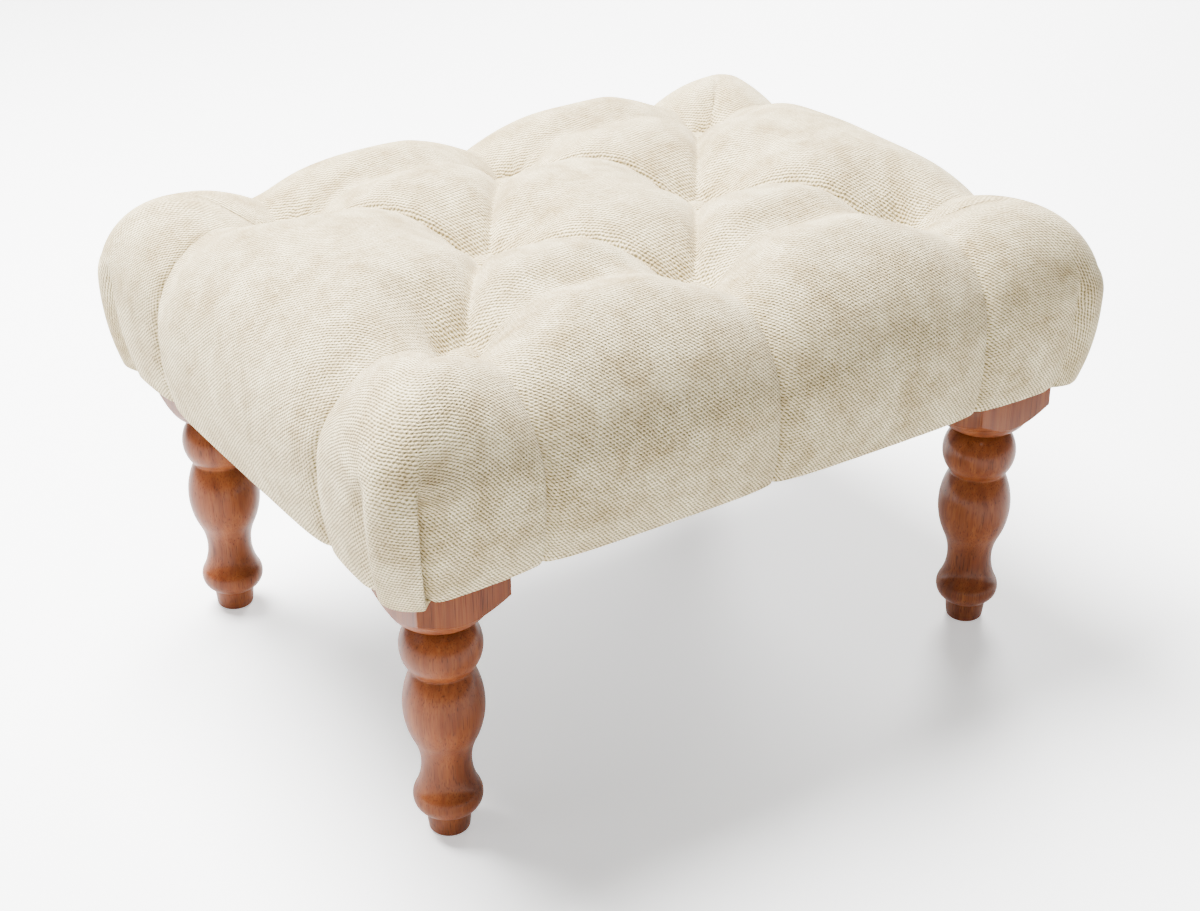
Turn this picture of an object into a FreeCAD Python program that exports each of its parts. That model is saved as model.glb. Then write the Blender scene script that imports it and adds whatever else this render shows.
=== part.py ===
import FreeCAD, Part
import math
import os
import Sketcher

# Deep-buttoned footstool on four turned legs, in millimetres.
# Z is up from the floor, X runs along the stool and the front faces -Y.
# The origin is on the floor below the middle of the seat.

SIZES = [
    ("leg_gap_length", "440", "leg centre to leg centre along the stool"),
    ("leg_gap_depth", "320", "leg centre to leg centre across the stool"),
    ("leg_height", "198", "floor to the underside of the upholstery"),
    ("foot_radius", "13.2", "bottom of the foot"),
    ("foot_ease", "1.2", "chamfered bottom edge of the foot"),
    ("ankle_height", "15", "crease between the foot and the lower bead"),
    ("ankle_radius", "14.6", "radius at that crease"),
    ("low_bead_top", "33", "where the lower bead meets the waist"),
    ("low_bead_top_radius", "20.4", "radius where they meet"),
    ("low_bead_curve", "12.3", "radius of the lower bead's curve"),
    ("waist_end", "70", "where the hollow waist turns into the vase"),
    ("waist_end_radius", "20", "radius at that turn"),
    ("waist_curve", "43", "radius of the hollow waist's curve"),
    ("vase_top", "121.5", "crease between the vase and the upper bead"),
    ("vase_top_radius", "19.2", "radius at that crease"),
    ("vase_curve", "57", "radius of the vase's curve"),
    ("neck_height", "157.5", "crease between the upper bead and the cup"),
    ("neck_radius", "16.8", "radius at that crease"),
    ("high_bead_curve", "24.6", "radius of the upper bead's curve"),
    ("cup_top", "168", "where the cup meets the middle of each face of the block"),
    ("cup_curve", "18", "radius of the cup's curve"),
    ("block_width", "64", "square block at the top of the leg"),
    ("shoulder_rise", "10", "rise of the turned shoulder out to the block's corners"),
    ("frame_past_leg_length", "5", "timber frame past the leg blocks, at each end"),
    ("frame_past_leg_depth", "1", "timber frame past the leg blocks, front and rear"),
    ("rail_height", "50", "height of the four rails"),
    ("rail_thickness", "22", "thickness of the four rails"),
    ("board_thickness", "12", "plywood seat board"),
    ("rebate_depth", "11", "how far a side rail is let into the ends of the long rails"),
    ("fit_clearance", "0.1", "round a bolt or twine in its hole"),
    ("overrun", "3", "how far a cutting shape runs past what it cuts"),
    ("corner_block_side", "50", "corner block, along each rail"),
    ("corner_block_height", "36", "corner block, upright"),
    ("corner_block_bevel", "10", "cut inner corner of a corner block"),
    ("bolt_radius", "4", "hanger bolt of the leg"),
    ("bolt_length", "70", "hanger bolt of the leg"),
    ("bolt_end", "2", "end of the bolt above its nut"),
    ("nut_flats", "13", "nut of the leg, across its flats"),
    ("nut_height", "6.5", "nut of the leg"),
    ("cover_thickness", "1.2", "upholstery fabric"),
    ("turn_under", "20", "fabric turned under the rails"),
    ("soft_clearance", "0.3", "between two soft layers"),
    ("end_padding", "13.5", "frame to the bottom edge of the cover, at each end"),
    ("side_padding", "12.5", "frame to the bottom edge of the cover, front and rear"),
    ("cushion_height", "144", "bottom edge of the cover to the crest of the puffs"),
    ("side_swell", "9", "how far the sides swell past the bottom edge"),
    ("edge_radius", "80", "rolled top edge, down to the fullest part of the side"),
    ("edge_drop", "4", "crest to where the rolled edge starts"),
    ("corner_radius", "24", "corners of the upholstery, seen from above"),
    ("button_gap_length", "171", "button to button along a row"),
    ("button_gap_depth", "115", "row of buttons to row of buttons"),
    ("pit_depth", "45", "crest to the bottom of a button pit"),
    ("crease_depth", "23", "crest to the shallow middle of a crease"),
    ("puff_dip", "4", "crest to the middle of a puff on a line of buttons"),
    ("pleat_depth", "13", "how far the edge pleats draw in at the rolled edge"),
    ("hem_pleat_depth", "5", "how far the edge pleats draw in at the bottom edge"),
    ("button_radius", "11", "covered buttons"),
    ("button_height", "5", "covered buttons"),
    ("stuffing_at_button", "3.8", "stuffing left under a button"),
    ("wadding_thickness", "5", "wadding over the foam"),
    ("twine_radius", "0.9", "button twine"),
    ("twine_tail", "4", "end of the twine below the board"),
    ("dust_cover_thickness", "0.6", "black cloth under the seat"),
    ("dust_cover_inset", "8", "edge of the black cloth inside the frame's edge"),
    ("dust_cover_gap", "1", "between the black cloth and the leg blocks"),
]

doc = FreeCAD.newDocument("Footstool")
sheet = doc.addObject("Spreadsheet::Sheet", "Sizes")
for row, (alias, value, note) in enumerate(SIZES, 1):
    sheet.set(f"A{row}", note)
    sheet.set(f"B{row}", value)
    sheet.setAlias(f"B{row}", alias)
doc.recompute()

nodes = []


def size(alias):
    return float(sheet.get(alias))


def number(expression):
    """What an expression over the sheet comes to now."""
    return float(sheet.evalExpression(expression))


def bind(item, **expressions):
    for name, expression in expressions.items():
        item.setExpression(name, expression)
    return item


def place(item, x="0", y="0", z="0"):
    for axis, expression in zip("xyz", (x, y, z)):
        item.setExpression(f"Placement.Base.{axis}", expression)
    return item


def sub_part(label, item):
    item.Label = label
    nodes.append(item)
    return item


def box(name, length, width, height, x, y, z):
    item = doc.addObject("Part::Box", name)
    return place(bind(item, Length=length, Width=width, Height=height), x, y, z)


def rod(name, radius, height, x, y, z):
    item = doc.addObject("Part::Cylinder", name)
    return place(bind(item, Radius=radius, Height=height), x, y, z)


def group(name, items):
    item = doc.addObject("Part::Compound", name)
    item.Links = items
    return item


def cut(name, base, *tools):
    item = doc.addObject("Part::Cut", name)
    item.Base = base
    item.Tool = tools[0] if len(tools) == 1 else group(f"{name}_tools", list(tools))
    return item


def mirror(name, source, normal):
    item = doc.addObject("Part::Mirroring", name)
    item.Source = source
    item.Normal = normal
    return item


ACROSS_LENGTH = FreeCAD.Vector(1, 0, 0)
ACROSS_DEPTH = FreeCAD.Vector(0, 1, 0)


def four_ways(source):
    """A piece near the left front corner and its mirror images at the other three."""
    right = mirror(f"{source.Name}_right", source, ACROSS_LENGTH)
    rear = mirror(f"{source.Name}_rear", source, ACROSS_DEPTH)
    far = mirror(f"{source.Name}_far", right, ACROSS_DEPTH)
    return [source, right, rear, far]


# the four corners, in order round a plan
AROUND = ((-1, -1), (1, -1), (1, 1), (-1, 1))


def sketch_on(body, name, role, lift="0"):
    """A sketch on the origin plane of its own body, raised along the plane's normal."""
    sketch = body.newObject("Sketcher::SketchObject", name)
    plane = next(item for item in body.Origin.OriginFeatures if item.Role == role)
    sketch.AttachmentSupport = [(plane, "")]
    sketch.MapMode = "FlatFace"
    sketch.setExpression("AttachmentOffset.Base.z", lift)
    return sketch


def dimension(sketch, expression, kind, *where):
    index = sketch.addConstraint(Sketcher.Constraint(kind, *where, number(expression)))
    sketch.setExpression(f"Constraints[{index}]", expression)


def pin_point(sketch, item, end, x, y):
    """Holds one end of an edge at x, y from the sketch's origin, or on its axes where that is 0."""
    for kind, axis, expression in (("DistanceX", -2, x), ("DistanceY", -1, y)):
        if expression == "0":
            sketch.addConstraint(Sketcher.Constraint("PointOnObject", item, end, axis))
        else:
            dimension(sketch, expression, kind, -1, 1, item, end)


def arc_between(start, end, radius):
    """The short anticlockwise arc from start to end."""
    chord = end - start
    right = FreeCAD.Vector(chord.y, -chord.x, 0).normalize()
    reach = math.sqrt(radius * radius - chord.Length * chord.Length / 4)
    top = (start + end) * (1 / 2) + right * (radius - reach)
    return Part.Arc(start, top, end)


def outline(sketch, points, curves=None):
    """A closed outline through points; curves gives the radius of each step that is an arc.

    The radius is less than 0 where the arc is hollow.
    """
    curves = curves or {}
    places = [FreeCAD.Vector(number(x), number(y), 0) for x, y in points]
    opening = previous = None
    for i, (x, y) in enumerate(points):
        start, end = places[i], places[(i + 1) % len(places)]
        if i in curves:
            radius = number(curves[i])
            ends = (start, end) if radius > 0 else (end, start)
            item = sketch.addGeometry(arc_between(*ends, abs(radius)))
            first = 1 if radius > 0 else 2
            dimension(sketch, f"abs({curves[i]})", "Radius", item)
        else:
            item = sketch.addGeometry(Part.LineSegment(start, end))
            first = 1
        if previous:
            sketch.addConstraint(Sketcher.Constraint("Coincident", *previous, item, first))
        else:
            opening = (item, first)
        pin_point(sketch, item, first, x, y)
        previous = (item, 3 - first)
    sketch.addConstraint(Sketcher.Constraint("Coincident", *previous, *opening))


def lathe(name, points, curves=None):
    """A body turned about its own Z axis from an outline of radius and height."""
    body = doc.addObject("PartDesign::Body", name)
    profile = sketch_on(body, f"{name}_profile", "XZ_Plane")
    outline(profile, points, curves)
    turning = body.newObject("PartDesign::Revolution", f"{name}_turning")
    turning.Profile = profile
    turning.ReferenceAxis = (profile, ["V_Axis"])
    turning.Angle = 360
    return body


def plate(name, points, thickness):
    """A body of even thickness from a plan outline, standing on its own XY plane."""
    body = doc.addObject("PartDesign::Body", name)
    plan = sketch_on(body, f"{name}_plan", "XY_Plane")
    outline(plan, points)
    pad = body.newObject("PartDesign::Pad", f"{name}_pad")
    pad.Profile = plan
    pad.setExpression("Length", thickness)
    return body


# Levels and places that several pieces share

FRAME_LENGTH = "(Sizes.leg_gap_length + Sizes.block_width + 2 * Sizes.frame_past_leg_length)"
FRAME_DEPTH = "(Sizes.leg_gap_depth + Sizes.block_width + 2 * Sizes.frame_past_leg_depth)"
SEAT_TOP = "(Sizes.leg_height + Sizes.cushion_height)"
RAIL_LOW = "Sizes.leg_height + Sizes.cover_thickness"
RAIL_TOP = f"{RAIL_LOW} + Sizes.rail_height"
BOARD_TOP = f"{RAIL_TOP} + Sizes.board_thickness"
BLOCK_TOP = f"{RAIL_LOW} + Sizes.corner_block_height"
BOLT_LOW = f"{BLOCK_TOP} + Sizes.nut_height + Sizes.bolt_end - Sizes.bolt_length"
PIT_FLOOR = f"{SEAT_TOP} - Sizes.pit_depth"
WADDING_TOP = f"({PIT_FLOOR} - Sizes.stuffing_at_button - ({BOARD_TOP}))"
LEG_X = "-Sizes.leg_gap_length / 2"
LEG_Y = "-Sizes.leg_gap_depth / 2"
INNER_X = f"-{FRAME_LENGTH} / 2 + Sizes.rail_thickness"
INNER_Y = f"-{FRAME_DEPTH} / 2 + Sizes.rail_thickness"

# Turned leg: foot, lower bead, hollow waist, vase, upper bead and cup, then the square block.
# The block's lower edges are cut back by a turned shoulder, lowest in the middle of each face.


def turned_leg():
    leg = lathe(
        "leg",
        [
            ("0", "0"),
            ("Sizes.foot_radius - Sizes.foot_ease", "0"),
            ("Sizes.foot_radius", "Sizes.foot_ease"),
            ("Sizes.ankle_radius", "Sizes.ankle_height"),
            ("Sizes.low_bead_top_radius", "Sizes.low_bead_top"),
            ("Sizes.waist_end_radius", "Sizes.waist_end"),
            ("Sizes.vase_top_radius", "Sizes.vase_top"),
            ("Sizes.neck_radius", "Sizes.neck_height"),
            ("Sizes.block_width / 2", "Sizes.cup_top"),
            ("0", "Sizes.cup_top"),
        ],
        {
            3: "Sizes.low_bead_curve",
            4: "-Sizes.waist_curve",
            5: "Sizes.vase_curve",
            6: "Sizes.high_bead_curve",
            7: "Sizes.cup_curve",
        },
    )
    square = sketch_on(leg, "leg_block_plan", "XY_Plane", "Sizes.cup_top")
    half = "Sizes.block_width / 2"
    outline(square, [(f"-{half}", f"-{half}"), (half, f"-{half}"), (half, half), (f"-{half}", half)])
    block = leg.newObject("PartDesign::Pad", "leg_block")
    block.Profile = square
    block.setExpression("Length", "Sizes.leg_height - Sizes.cup_top")

    wedge = sketch_on(leg, "leg_shoulder_profile", "XZ_Plane")
    outline(
        wedge,
        [
            (half, "Sizes.cup_top"),
            ("Sizes.block_width * sqrt(2) / 2 + Sizes.overrun", "Sizes.cup_top"),
            (
                "Sizes.block_width * sqrt(2) / 2 + Sizes.overrun",
                "Sizes.cup_top + Sizes.shoulder_rise"
                " * (1 + Sizes.overrun / (Sizes.block_width * (sqrt(2) - 1) / 2))",
            ),
        ],
    )
    shoulder = leg.newObject("PartDesign::Groove", "leg_shoulder")
    shoulder.Profile = wedge
    shoulder.ReferenceAxis = (wedge, ["V_Axis"])
    shoulder.Angle = 360
    place(leg, LEG_X, LEG_Y)
    hole = rod(
        "leg_hole",
        "Sizes.bolt_radius + Sizes.fit_clearance",
        "Sizes.bolt_length",
        LEG_X,
        LEG_Y,
        f"{BOLT_LOW} - Sizes.fit_clearance",
    )
    return cut("left_front_leg", leg, hole)


sub_part("turned_legs", group("turned_legs_group", four_ways(turned_leg())))

# Hanger bolt up through the corner block, and the six-sided nut on the block's top.

bolt = rod("leg_bolt", "Sizes.bolt_radius", "Sizes.bolt_length", LEG_X, LEG_Y, BOLT_LOW)
sub_part("leg_bolts", group("leg_bolts_group", four_ways(bolt)))

NUT_CORNER = "Sizes.nut_flats / sqrt(3)"
nut_corners = [(f"{NUT_CORNER} * cos({60 * i})", f"{NUT_CORNER} * sin({60 * i})") for i in range(6)]
nut_blank = plate("nut_blank", nut_corners, "Sizes.nut_height")
place(nut_blank, LEG_X, LEG_Y, BLOCK_TOP)
bolt_bore = rod(
    "bolt_bore",
    "Sizes.bolt_radius + Sizes.fit_clearance",
    "Sizes.corner_block_height + Sizes.nut_height + 2 * Sizes.overrun",
    LEG_X,
    LEG_Y,
    f"{RAIL_LOW} - Sizes.overrun",
)
sub_part("leg_nuts", group("leg_nuts_group", four_ways(cut("leg_nut", nut_blank, bolt_bore))))

# Timber frame: the side rails are let into a rebate at each end of the long rails.

long_blank = box(
    "long_blank",
    FRAME_LENGTH,
    "Sizes.rail_thickness",
    "Sizes.rail_height",
    f"-{FRAME_LENGTH} / 2",
    f"-{FRAME_DEPTH} / 2",
    RAIL_LOW,
)
side_blank = box(
    "side_blank",
    "Sizes.rail_thickness",
    f"{FRAME_DEPTH} - 2 * Sizes.rail_thickness + 2 * Sizes.rebate_depth",
    "Sizes.rail_height",
    f"-{FRAME_LENGTH} / 2",
    f"{INNER_Y} - Sizes.rebate_depth",
    RAIL_LOW,
)
left_rail = sub_part("left_rail", side_blank)
right_rail = sub_part("right_rail", mirror("right_rail_mirror", left_rail, ACROSS_LENGTH))
front_rail = sub_part("front_rail", cut("front_rail_cut", long_blank, left_rail, right_rail))
sub_part("rear_rail", mirror("rear_rail_mirror", front_rail, ACROSS_DEPTH))

# Corner blocks: glued into the frame's corners, bored for the leg's bolt.

SIDE = "Sizes.corner_block_side"
BEVELLED = f"{SIDE} - Sizes.corner_block_bevel"
block_blank = plate(
    "corner_block_blank",
    [("0", "0"), (SIDE, "0"), (SIDE, BEVELLED), (BEVELLED, SIDE), ("0", SIDE)],
    "Sizes.corner_block_height",
)
place(block_blank, INNER_X, INNER_Y, RAIL_LOW)
corner_block = cut("corner_block", block_blank, bolt_bore)
for label, block in zip(
    (
        "front_left_corner_block",
        "front_right_corner_block",
        "rear_left_corner_block",
        "rear_right_corner_block",
    ),
    four_ways(corner_block),
):
    sub_part(label, block)

# Buttons: three rows of three, two and three, each tied down through the seat board.

HALF_GAP = "Sizes.button_gap_length / 2"
BUTTON_PLACES = [
    (f"{column} * {HALF_GAP}", f"{row} * Sizes.button_gap_depth")
    for row, columns in ((-1, (-2, 0, 2)), (0, (-1, 1)), (1, (-2, 0, 2)))
    for column in columns
]


def at_buttons(name, maker):
    return group(name, [maker(f"{name}_{i}", x, y) for i, (x, y) in enumerate(BUTTON_PLACES, 1)])


def covered_button(name, x, y):
    return rod(name, "Sizes.button_radius", "Sizes.button_height", x, y, PIT_FLOOR)


TWINE_LOW = f"{RAIL_TOP} - Sizes.twine_tail"


def twine(name, x, y):
    return rod(name, "Sizes.twine_radius", f"{PIT_FLOOR} - ({TWINE_LOW})", x, y, TWINE_LOW)


def twine_hole(name, x, y):
    radius = "Sizes.twine_radius + Sizes.fit_clearance"
    return rod(name, radius, f"{PIT_FLOOR} - ({TWINE_LOW})", x, y, TWINE_LOW)


sub_part("cover_buttons", at_buttons("button", covered_button))
sub_part("button_twines", at_buttons("twine", twine))
twine_holes = at_buttons("twine_hole", twine_hole)

# Seat board: plywood on the rails, drilled for the twine.

board_blank = box(
    "board_blank",
    FRAME_LENGTH,
    FRAME_DEPTH,
    "Sizes.board_thickness",
    f"-{FRAME_LENGTH} / 2",
    f"-{FRAME_DEPTH} / 2",
    RAIL_TOP,
)
sub_part("seat_board", cut("seat_board_cut", board_blank, twine_holes))

# Black cloth under the seat, cut round the blocks of the legs.

CLOTH_X = f"{FRAME_LENGTH} / 2 - Sizes.dust_cover_inset"
CLOTH_Y = f"{FRAME_DEPTH} / 2 - Sizes.dust_cover_inset"
NOTCH_X = "Sizes.leg_gap_length / 2 - Sizes.block_width / 2 - Sizes.dust_cover_gap"
NOTCH_Y = "Sizes.leg_gap_depth / 2 - Sizes.block_width / 2 - Sizes.dust_cover_gap"
cloth_quarter = [(CLOTH_X, NOTCH_Y), (NOTCH_X, NOTCH_Y), (NOTCH_X, CLOTH_Y)]


def reflected(points, across, up):
    return [(f"{across} * ({x})", f"{up} * ({y})") for x, y in points]


dust_cover = plate(
    "dust_cover_cloth",
    reflected(cloth_quarter, 1, 1)
    + reflected(cloth_quarter[::-1], -1, 1)
    + reflected(cloth_quarter, -1, -1)
    + reflected(cloth_quarter[::-1], 1, -1),
    "Sizes.dust_cover_thickness",
)
place(dust_cover, z="Sizes.leg_height - Sizes.dust_cover_thickness")
sub_part("dust_cover", dust_cover)

# Foam slab on the seat board with a bevelled top edge, and a sheet of wadding over it and its bevel.

FOAM_BEVEL_SHARE = 0.45


def bevelled_slab(name, thickness, room="0"):
    """A slab on the seat board, larger all round by room."""
    half_x = f"({FRAME_LENGTH} / 2 + {room})"
    half_y = f"({FRAME_DEPTH} / 2 + {room})"
    corners = [(f"{across} * {half_x}", f"{up} * {half_y}") for across, up in AROUND]
    slab = plate(name, corners, f"{thickness} + {room}")
    doc.recompute()
    pad = slab.Tip
    faces = pad.Shape.Faces
    top = max(range(len(faces)), key=lambda i: faces[i].CenterOfMass.z)
    edge = slab.newObject("PartDesign::Chamfer", f"{name}_edge")
    edge.Base = (pad, [f"Face{top + 1}"])
    edge.setExpression("Size", f"{WADDING_TOP} * {FOAM_BEVEL_SHARE}")
    return place(slab, z=BOARD_TOP)


foam_blank = bevelled_slab("foam_blank", f"{WADDING_TOP} - Sizes.wadding_thickness")
sub_part("seat_foam", cut("foam_cut", foam_blank, twine_holes))
wadding_blank = bevelled_slab("wadding_blank", WADDING_TOP)
sub_part("wadding", cut("wadding_cut", wadding_blank, foam_blank, twine_holes))

# Tufted skin: diagonal creases between the buttons, rolls and puffs between the creases, and a pleat
# from each outer button over the rolled edge and down the side. Faces are ruled between lines and arcs.

CREASE_SHARES = (1 / 3, 2 / 3)
TIP_DIP_SHARE = 0.15
CREST_SHARE = 0.45
ROLL_SHARES = (0, 1 / 3, 2 / 3, 1)
SIDE_SHARES = (1 / 2, 0)
CORNER_FULL_SHARE = 0.85
CORNER_ROUND_SHARE = 0.5
TOP_ROUND_SHARE = 0.3
CORNER_RISE_SHARE = 0.72

CREST = size("leg_height") + size("cushion_height")
PIT = CREST - size("pit_depth")
CREASE = CREST - size("crease_depth")
ROW = CREST - size("puff_dip")


def between(first, second, share):
    return first + (second - first) * share


def line(start, end):
    return Part.LineSegment(start, end).toShape()


def through(start, middle, end):
    return Part.Arc(start, middle, end).toShape()


def ruled(curves):
    """Faces from each curve to the next, where an end may be a single point."""
    faces = []
    for near, far in zip(curves, curves[1:]):
        if isinstance(far, FreeCAD.Vector):
            near, far = far, near
        if isinstance(near, Part.Edge):
            faces.append(Part.makeRuledSurface(near, far))
        else:
            start, end = (vertex.Point for vertex in far.Vertexes)
            faces.append(Part.Face(Part.makePolygon([near, start, end, near])))
    return faces


def edge_steps(half, row):
    """How far out and how high the crest and the pleats are, step by step from a row of buttons."""
    full = half + size("side_swell")
    centre = full - size("edge_radius")
    level = CREST - size("edge_drop") - size("edge_radius")
    radius = size("edge_radius")
    pleat = radius - size("pleat_depth")
    crest_out = between(row, centre, CREST_SHARE)
    steps = [
        (row, ROW, row, PIT),
        (crest_out, CREST, crest_out, between(PIT, level + pleat, CREST_SHARE)),
    ]
    for share in ROLL_SHARES:
        across, up = math.sin(share * math.pi / 2), math.cos(share * math.pi / 2)
        steps.append(
            (centre + radius * across, level + radius * up, centre + pleat * across, level + pleat * up)
        )
    for share in SIDE_SHARES:
        out = full - size("side_swell") * (1 - share) ** 2
        drawn = between(size("hem_pleat_depth"), size("pleat_depth"), share)
        height = between(size("leg_height"), level, share)
        steps.append((out, height, out - drawn, height))
    return steps


def corner_rounds():
    """Radius of the rounded corner at each step after the first."""
    full = size("corner_radius")
    rolled = [full * between(CORNER_ROUND_SHARE, 1, math.sin(share * math.pi / 2)) for share in ROLL_SHARES]
    return [full * TOP_ROUND_SHARE, *rolled] + [full] * len(SIDE_SHARES)


GAP_X = size("button_gap_length")
GAP_Y = size("button_gap_depth")
ENDS = edge_steps(number(FRAME_LENGTH) / 2 + size("end_padding"), GAP_X)
SIDES = edge_steps(number(FRAME_DEPTH) / 2 + size("side_padding"), GAP_Y)


def edge_roll(start, end, steps, spot):
    """Curves of a roll from one pleat to the next, where spot makes a point of along, out and z."""
    return [
        through(spot(start, pleat, pleat_z), spot((start + end) / 2, out, z), spot(end, pleat, pleat_z))
        for out, z, pleat, pleat_z in steps
    ]


def corner_puff(across, up):
    """Three bands of curves from a corner's button: along the side, round the corner and along the end."""

    def spot(x, y, z):
        return FreeCAD.Vector(across * x, up * y, z)

    bands = [[spot(GAP_X, GAP_Y, PIT)] for band in range(3)]
    slant = math.sqrt(1 / 2)
    for i, (end, side, r) in enumerate(zip(ENDS[1:], SIDES[1:], corner_rounds())):
        long_x, long_y = end[0] - r, side[0] - r
        z = side[1] if i else between(PIT, side[1], CORNER_RISE_SHARE)
        side_middle = spot(
            (GAP_X + long_x) / 2,
            between(side[2], side[0], CORNER_FULL_SHARE),
            between(side[3], z, CORNER_FULL_SHARE),
        )
        end_middle = spot(
            between(end[2], end[0], CORNER_FULL_SHARE),
            (GAP_Y + long_y) / 2,
            between(end[3], z, CORNER_FULL_SHARE),
        )
        places = (
            spot(GAP_X, side[2], side[3]),
            side_middle,
            spot(long_x, side[0], z),
            spot(long_x + r * slant, long_y + r * slant, z),
            spot(end[0], long_y, z),
            end_middle,
            spot(end[2], GAP_Y, end[3]),
        )
        for k, band in enumerate(bands):
            start, middle, stop = places[2 * k : 2 * k + 3]
            band.append(through(start, middle, stop) if i else line(start, stop))
    return bands


def dimpled(first, second):
    """The arc over the puff from one button to the next."""
    middle = (first + second) * (1 / 2)
    middle.z = ROW
    return through(first, middle, second)


def tip(first, second, far):
    """Curves of a roll's tip: from the arc between two buttons, between two creases, to the far button."""
    spots = []
    for share in CREASE_SHARES:
        ends = [between(near, far, share) for near in (first, second)]
        for end in ends:
            end.z = CREASE
        spots.append(ends)
    (start, end), (last_start, last_end) = spots
    middle = (start + end) * (1 / 2)
    middle.z = between(CREST, CREASE, TIP_DIP_SHARE)
    return [dimpled(first, second), through(start, middle, end), line(last_start, last_end), far]


def button_spot(column, row):
    return FreeCAD.Vector(column * GAP_X / 2, row * GAP_Y, PIT)


def tufted_skin():
    """The closed solid under the skin, with a flat bottom."""
    inner = [button_spot(-1, 0), button_spot(1, 0)]
    tips = []
    rolls = []
    for up in (-1, 1):
        outer = [button_spot(column, up) for column in (-2, 0, 2)]
        tips.append(tip(*inner, outer[1]))
        for start, end, far in zip(outer, outer[1:], inner):
            tips.append(tip(start, end, far))
            rolls.append(edge_roll(start.x, end.x, SIDES, lambda x, y, z: FreeCAD.Vector(x, up * y, z)))
    for across in (-1, 1):
        tips.append(tip(button_spot(2 * across, -1), button_spot(2 * across, 1), button_spot(across, 0)))
        rolls.append(edge_roll(-GAP_Y, GAP_Y, ENDS, lambda y, x, z: FreeCAD.Vector(across * x, y, z)))
        for up in (-1, 1):
            rolls += corner_puff(across, up)
    faces = [face for curves in tips + rolls for face in ruled(curves)]
    hem = [curves[-1] for curves in rolls]
    faces.append(Part.Face(Part.Wire(Part.sortEdges(hem)[0])))
    shell = Part.makeShell(faces)
    shell.sewShape()
    solid = Part.makeSolid(shell)
    if solid.Volume < 0:
        solid.reverse()
    return solid


# Cover: fabric with the stuffing of its puffs, sunk round the buttons and turned under the frame.


def button_seat(name, x, y):
    radius = "Sizes.button_radius + Sizes.soft_clearance"
    return rod(name, radius, "Sizes.pit_depth", x, y, PIT_FLOOR)


frame_space = box(
    "frame_space",
    FRAME_LENGTH,
    FRAME_DEPTH,
    "Sizes.rail_height + Sizes.board_thickness",
    f"-{FRAME_LENGTH} / 2",
    f"-{FRAME_DEPTH} / 2",
    RAIL_LOW,
)
padding_space = bevelled_slab("padding_space", WADDING_TOP, "Sizes.soft_clearance")
OPENING_X = f"({FRAME_LENGTH} / 2 - Sizes.turn_under)"
OPENING_Y = f"({FRAME_DEPTH} / 2 - Sizes.turn_under)"
turned_under = box(
    "turned_under",
    f"2 * {OPENING_X}",
    f"2 * {OPENING_Y}",
    "Sizes.cover_thickness + 2 * Sizes.overrun",
    f"-{OPENING_X}",
    f"-{OPENING_Y}",
    "Sizes.leg_height - Sizes.overrun",
)
skin = doc.addObject("Part::Feature", "tufted_skin")
skin.Shape = tufted_skin()
seats = at_buttons("seat", button_seat)
cover = cut("cover_cut", skin, frame_space, padding_space, seats, turned_under, twine_holes)
sub_part("tufted_cover", cover)

doc.recompute()
for item in doc.Objects:
    if "Invalid" in item.State or "Error" in item.State:
        raise RuntimeError(f"{item.Name} did not build")
os.makedirs("parts", exist_ok=True)
for item in nodes:
    if item.Shape.isNull() or not item.Shape.isValid():
        raise RuntimeError(f"{item.Label} has no valid shape")
    item.Shape.exportStep(f"parts/{item.Label}.step")
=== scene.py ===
import math

import bpy
import numpy as np
from mathutils import Matrix, Vector, noise


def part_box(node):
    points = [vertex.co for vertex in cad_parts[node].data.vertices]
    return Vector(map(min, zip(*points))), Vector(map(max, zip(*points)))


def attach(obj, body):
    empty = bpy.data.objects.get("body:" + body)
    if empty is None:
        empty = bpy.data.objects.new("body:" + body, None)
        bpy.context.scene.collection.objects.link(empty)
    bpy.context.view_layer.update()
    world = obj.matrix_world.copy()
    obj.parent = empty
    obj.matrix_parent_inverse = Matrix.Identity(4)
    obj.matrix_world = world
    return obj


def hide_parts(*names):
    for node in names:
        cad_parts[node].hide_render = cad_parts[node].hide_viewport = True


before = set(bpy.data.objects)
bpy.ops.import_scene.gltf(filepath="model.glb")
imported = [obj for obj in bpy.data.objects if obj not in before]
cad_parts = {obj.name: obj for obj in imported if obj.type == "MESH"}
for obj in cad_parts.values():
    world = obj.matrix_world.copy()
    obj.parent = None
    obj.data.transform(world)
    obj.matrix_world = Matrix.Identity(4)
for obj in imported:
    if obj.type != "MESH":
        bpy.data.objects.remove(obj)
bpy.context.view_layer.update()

# Turned legs: cherry wood, turned on a lathe below a square block, sanded, stained reddish brown and
# finished with satin lacquer. A hanger bolt holds each block up against the underside of the seat.

LEG_BLOCK = 0.064
BLOCK_EDGE = 0.0008
BLOCK_SQUARENESS = 90
SHOULDER_RISE = 0.010
# where loops lie on the slope from the cup to the block, and on the block's lower and upper edges
SHOULDER_SHARES = (0.5, 0.96)
LOWER_EDGE_SHARES = (0.2, 1, 4)
UPPER_EDGE_SHARE = 0.3
LEG_SIDES = 96
# more sides close to each corner of the block, so that it stays crisp
CORNER_TURNS = (-0.03, -0.015, 0.015, 0.03)
TURNING_STEP = 0.0006
SANDING_PASSES = 2
# the skin stops this far from the leg's axis, at the foot and at the bottom of the bolt's hole
CENTRE_HOLE = 0.0005
BOLT_PLAY = 0.0001
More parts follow.
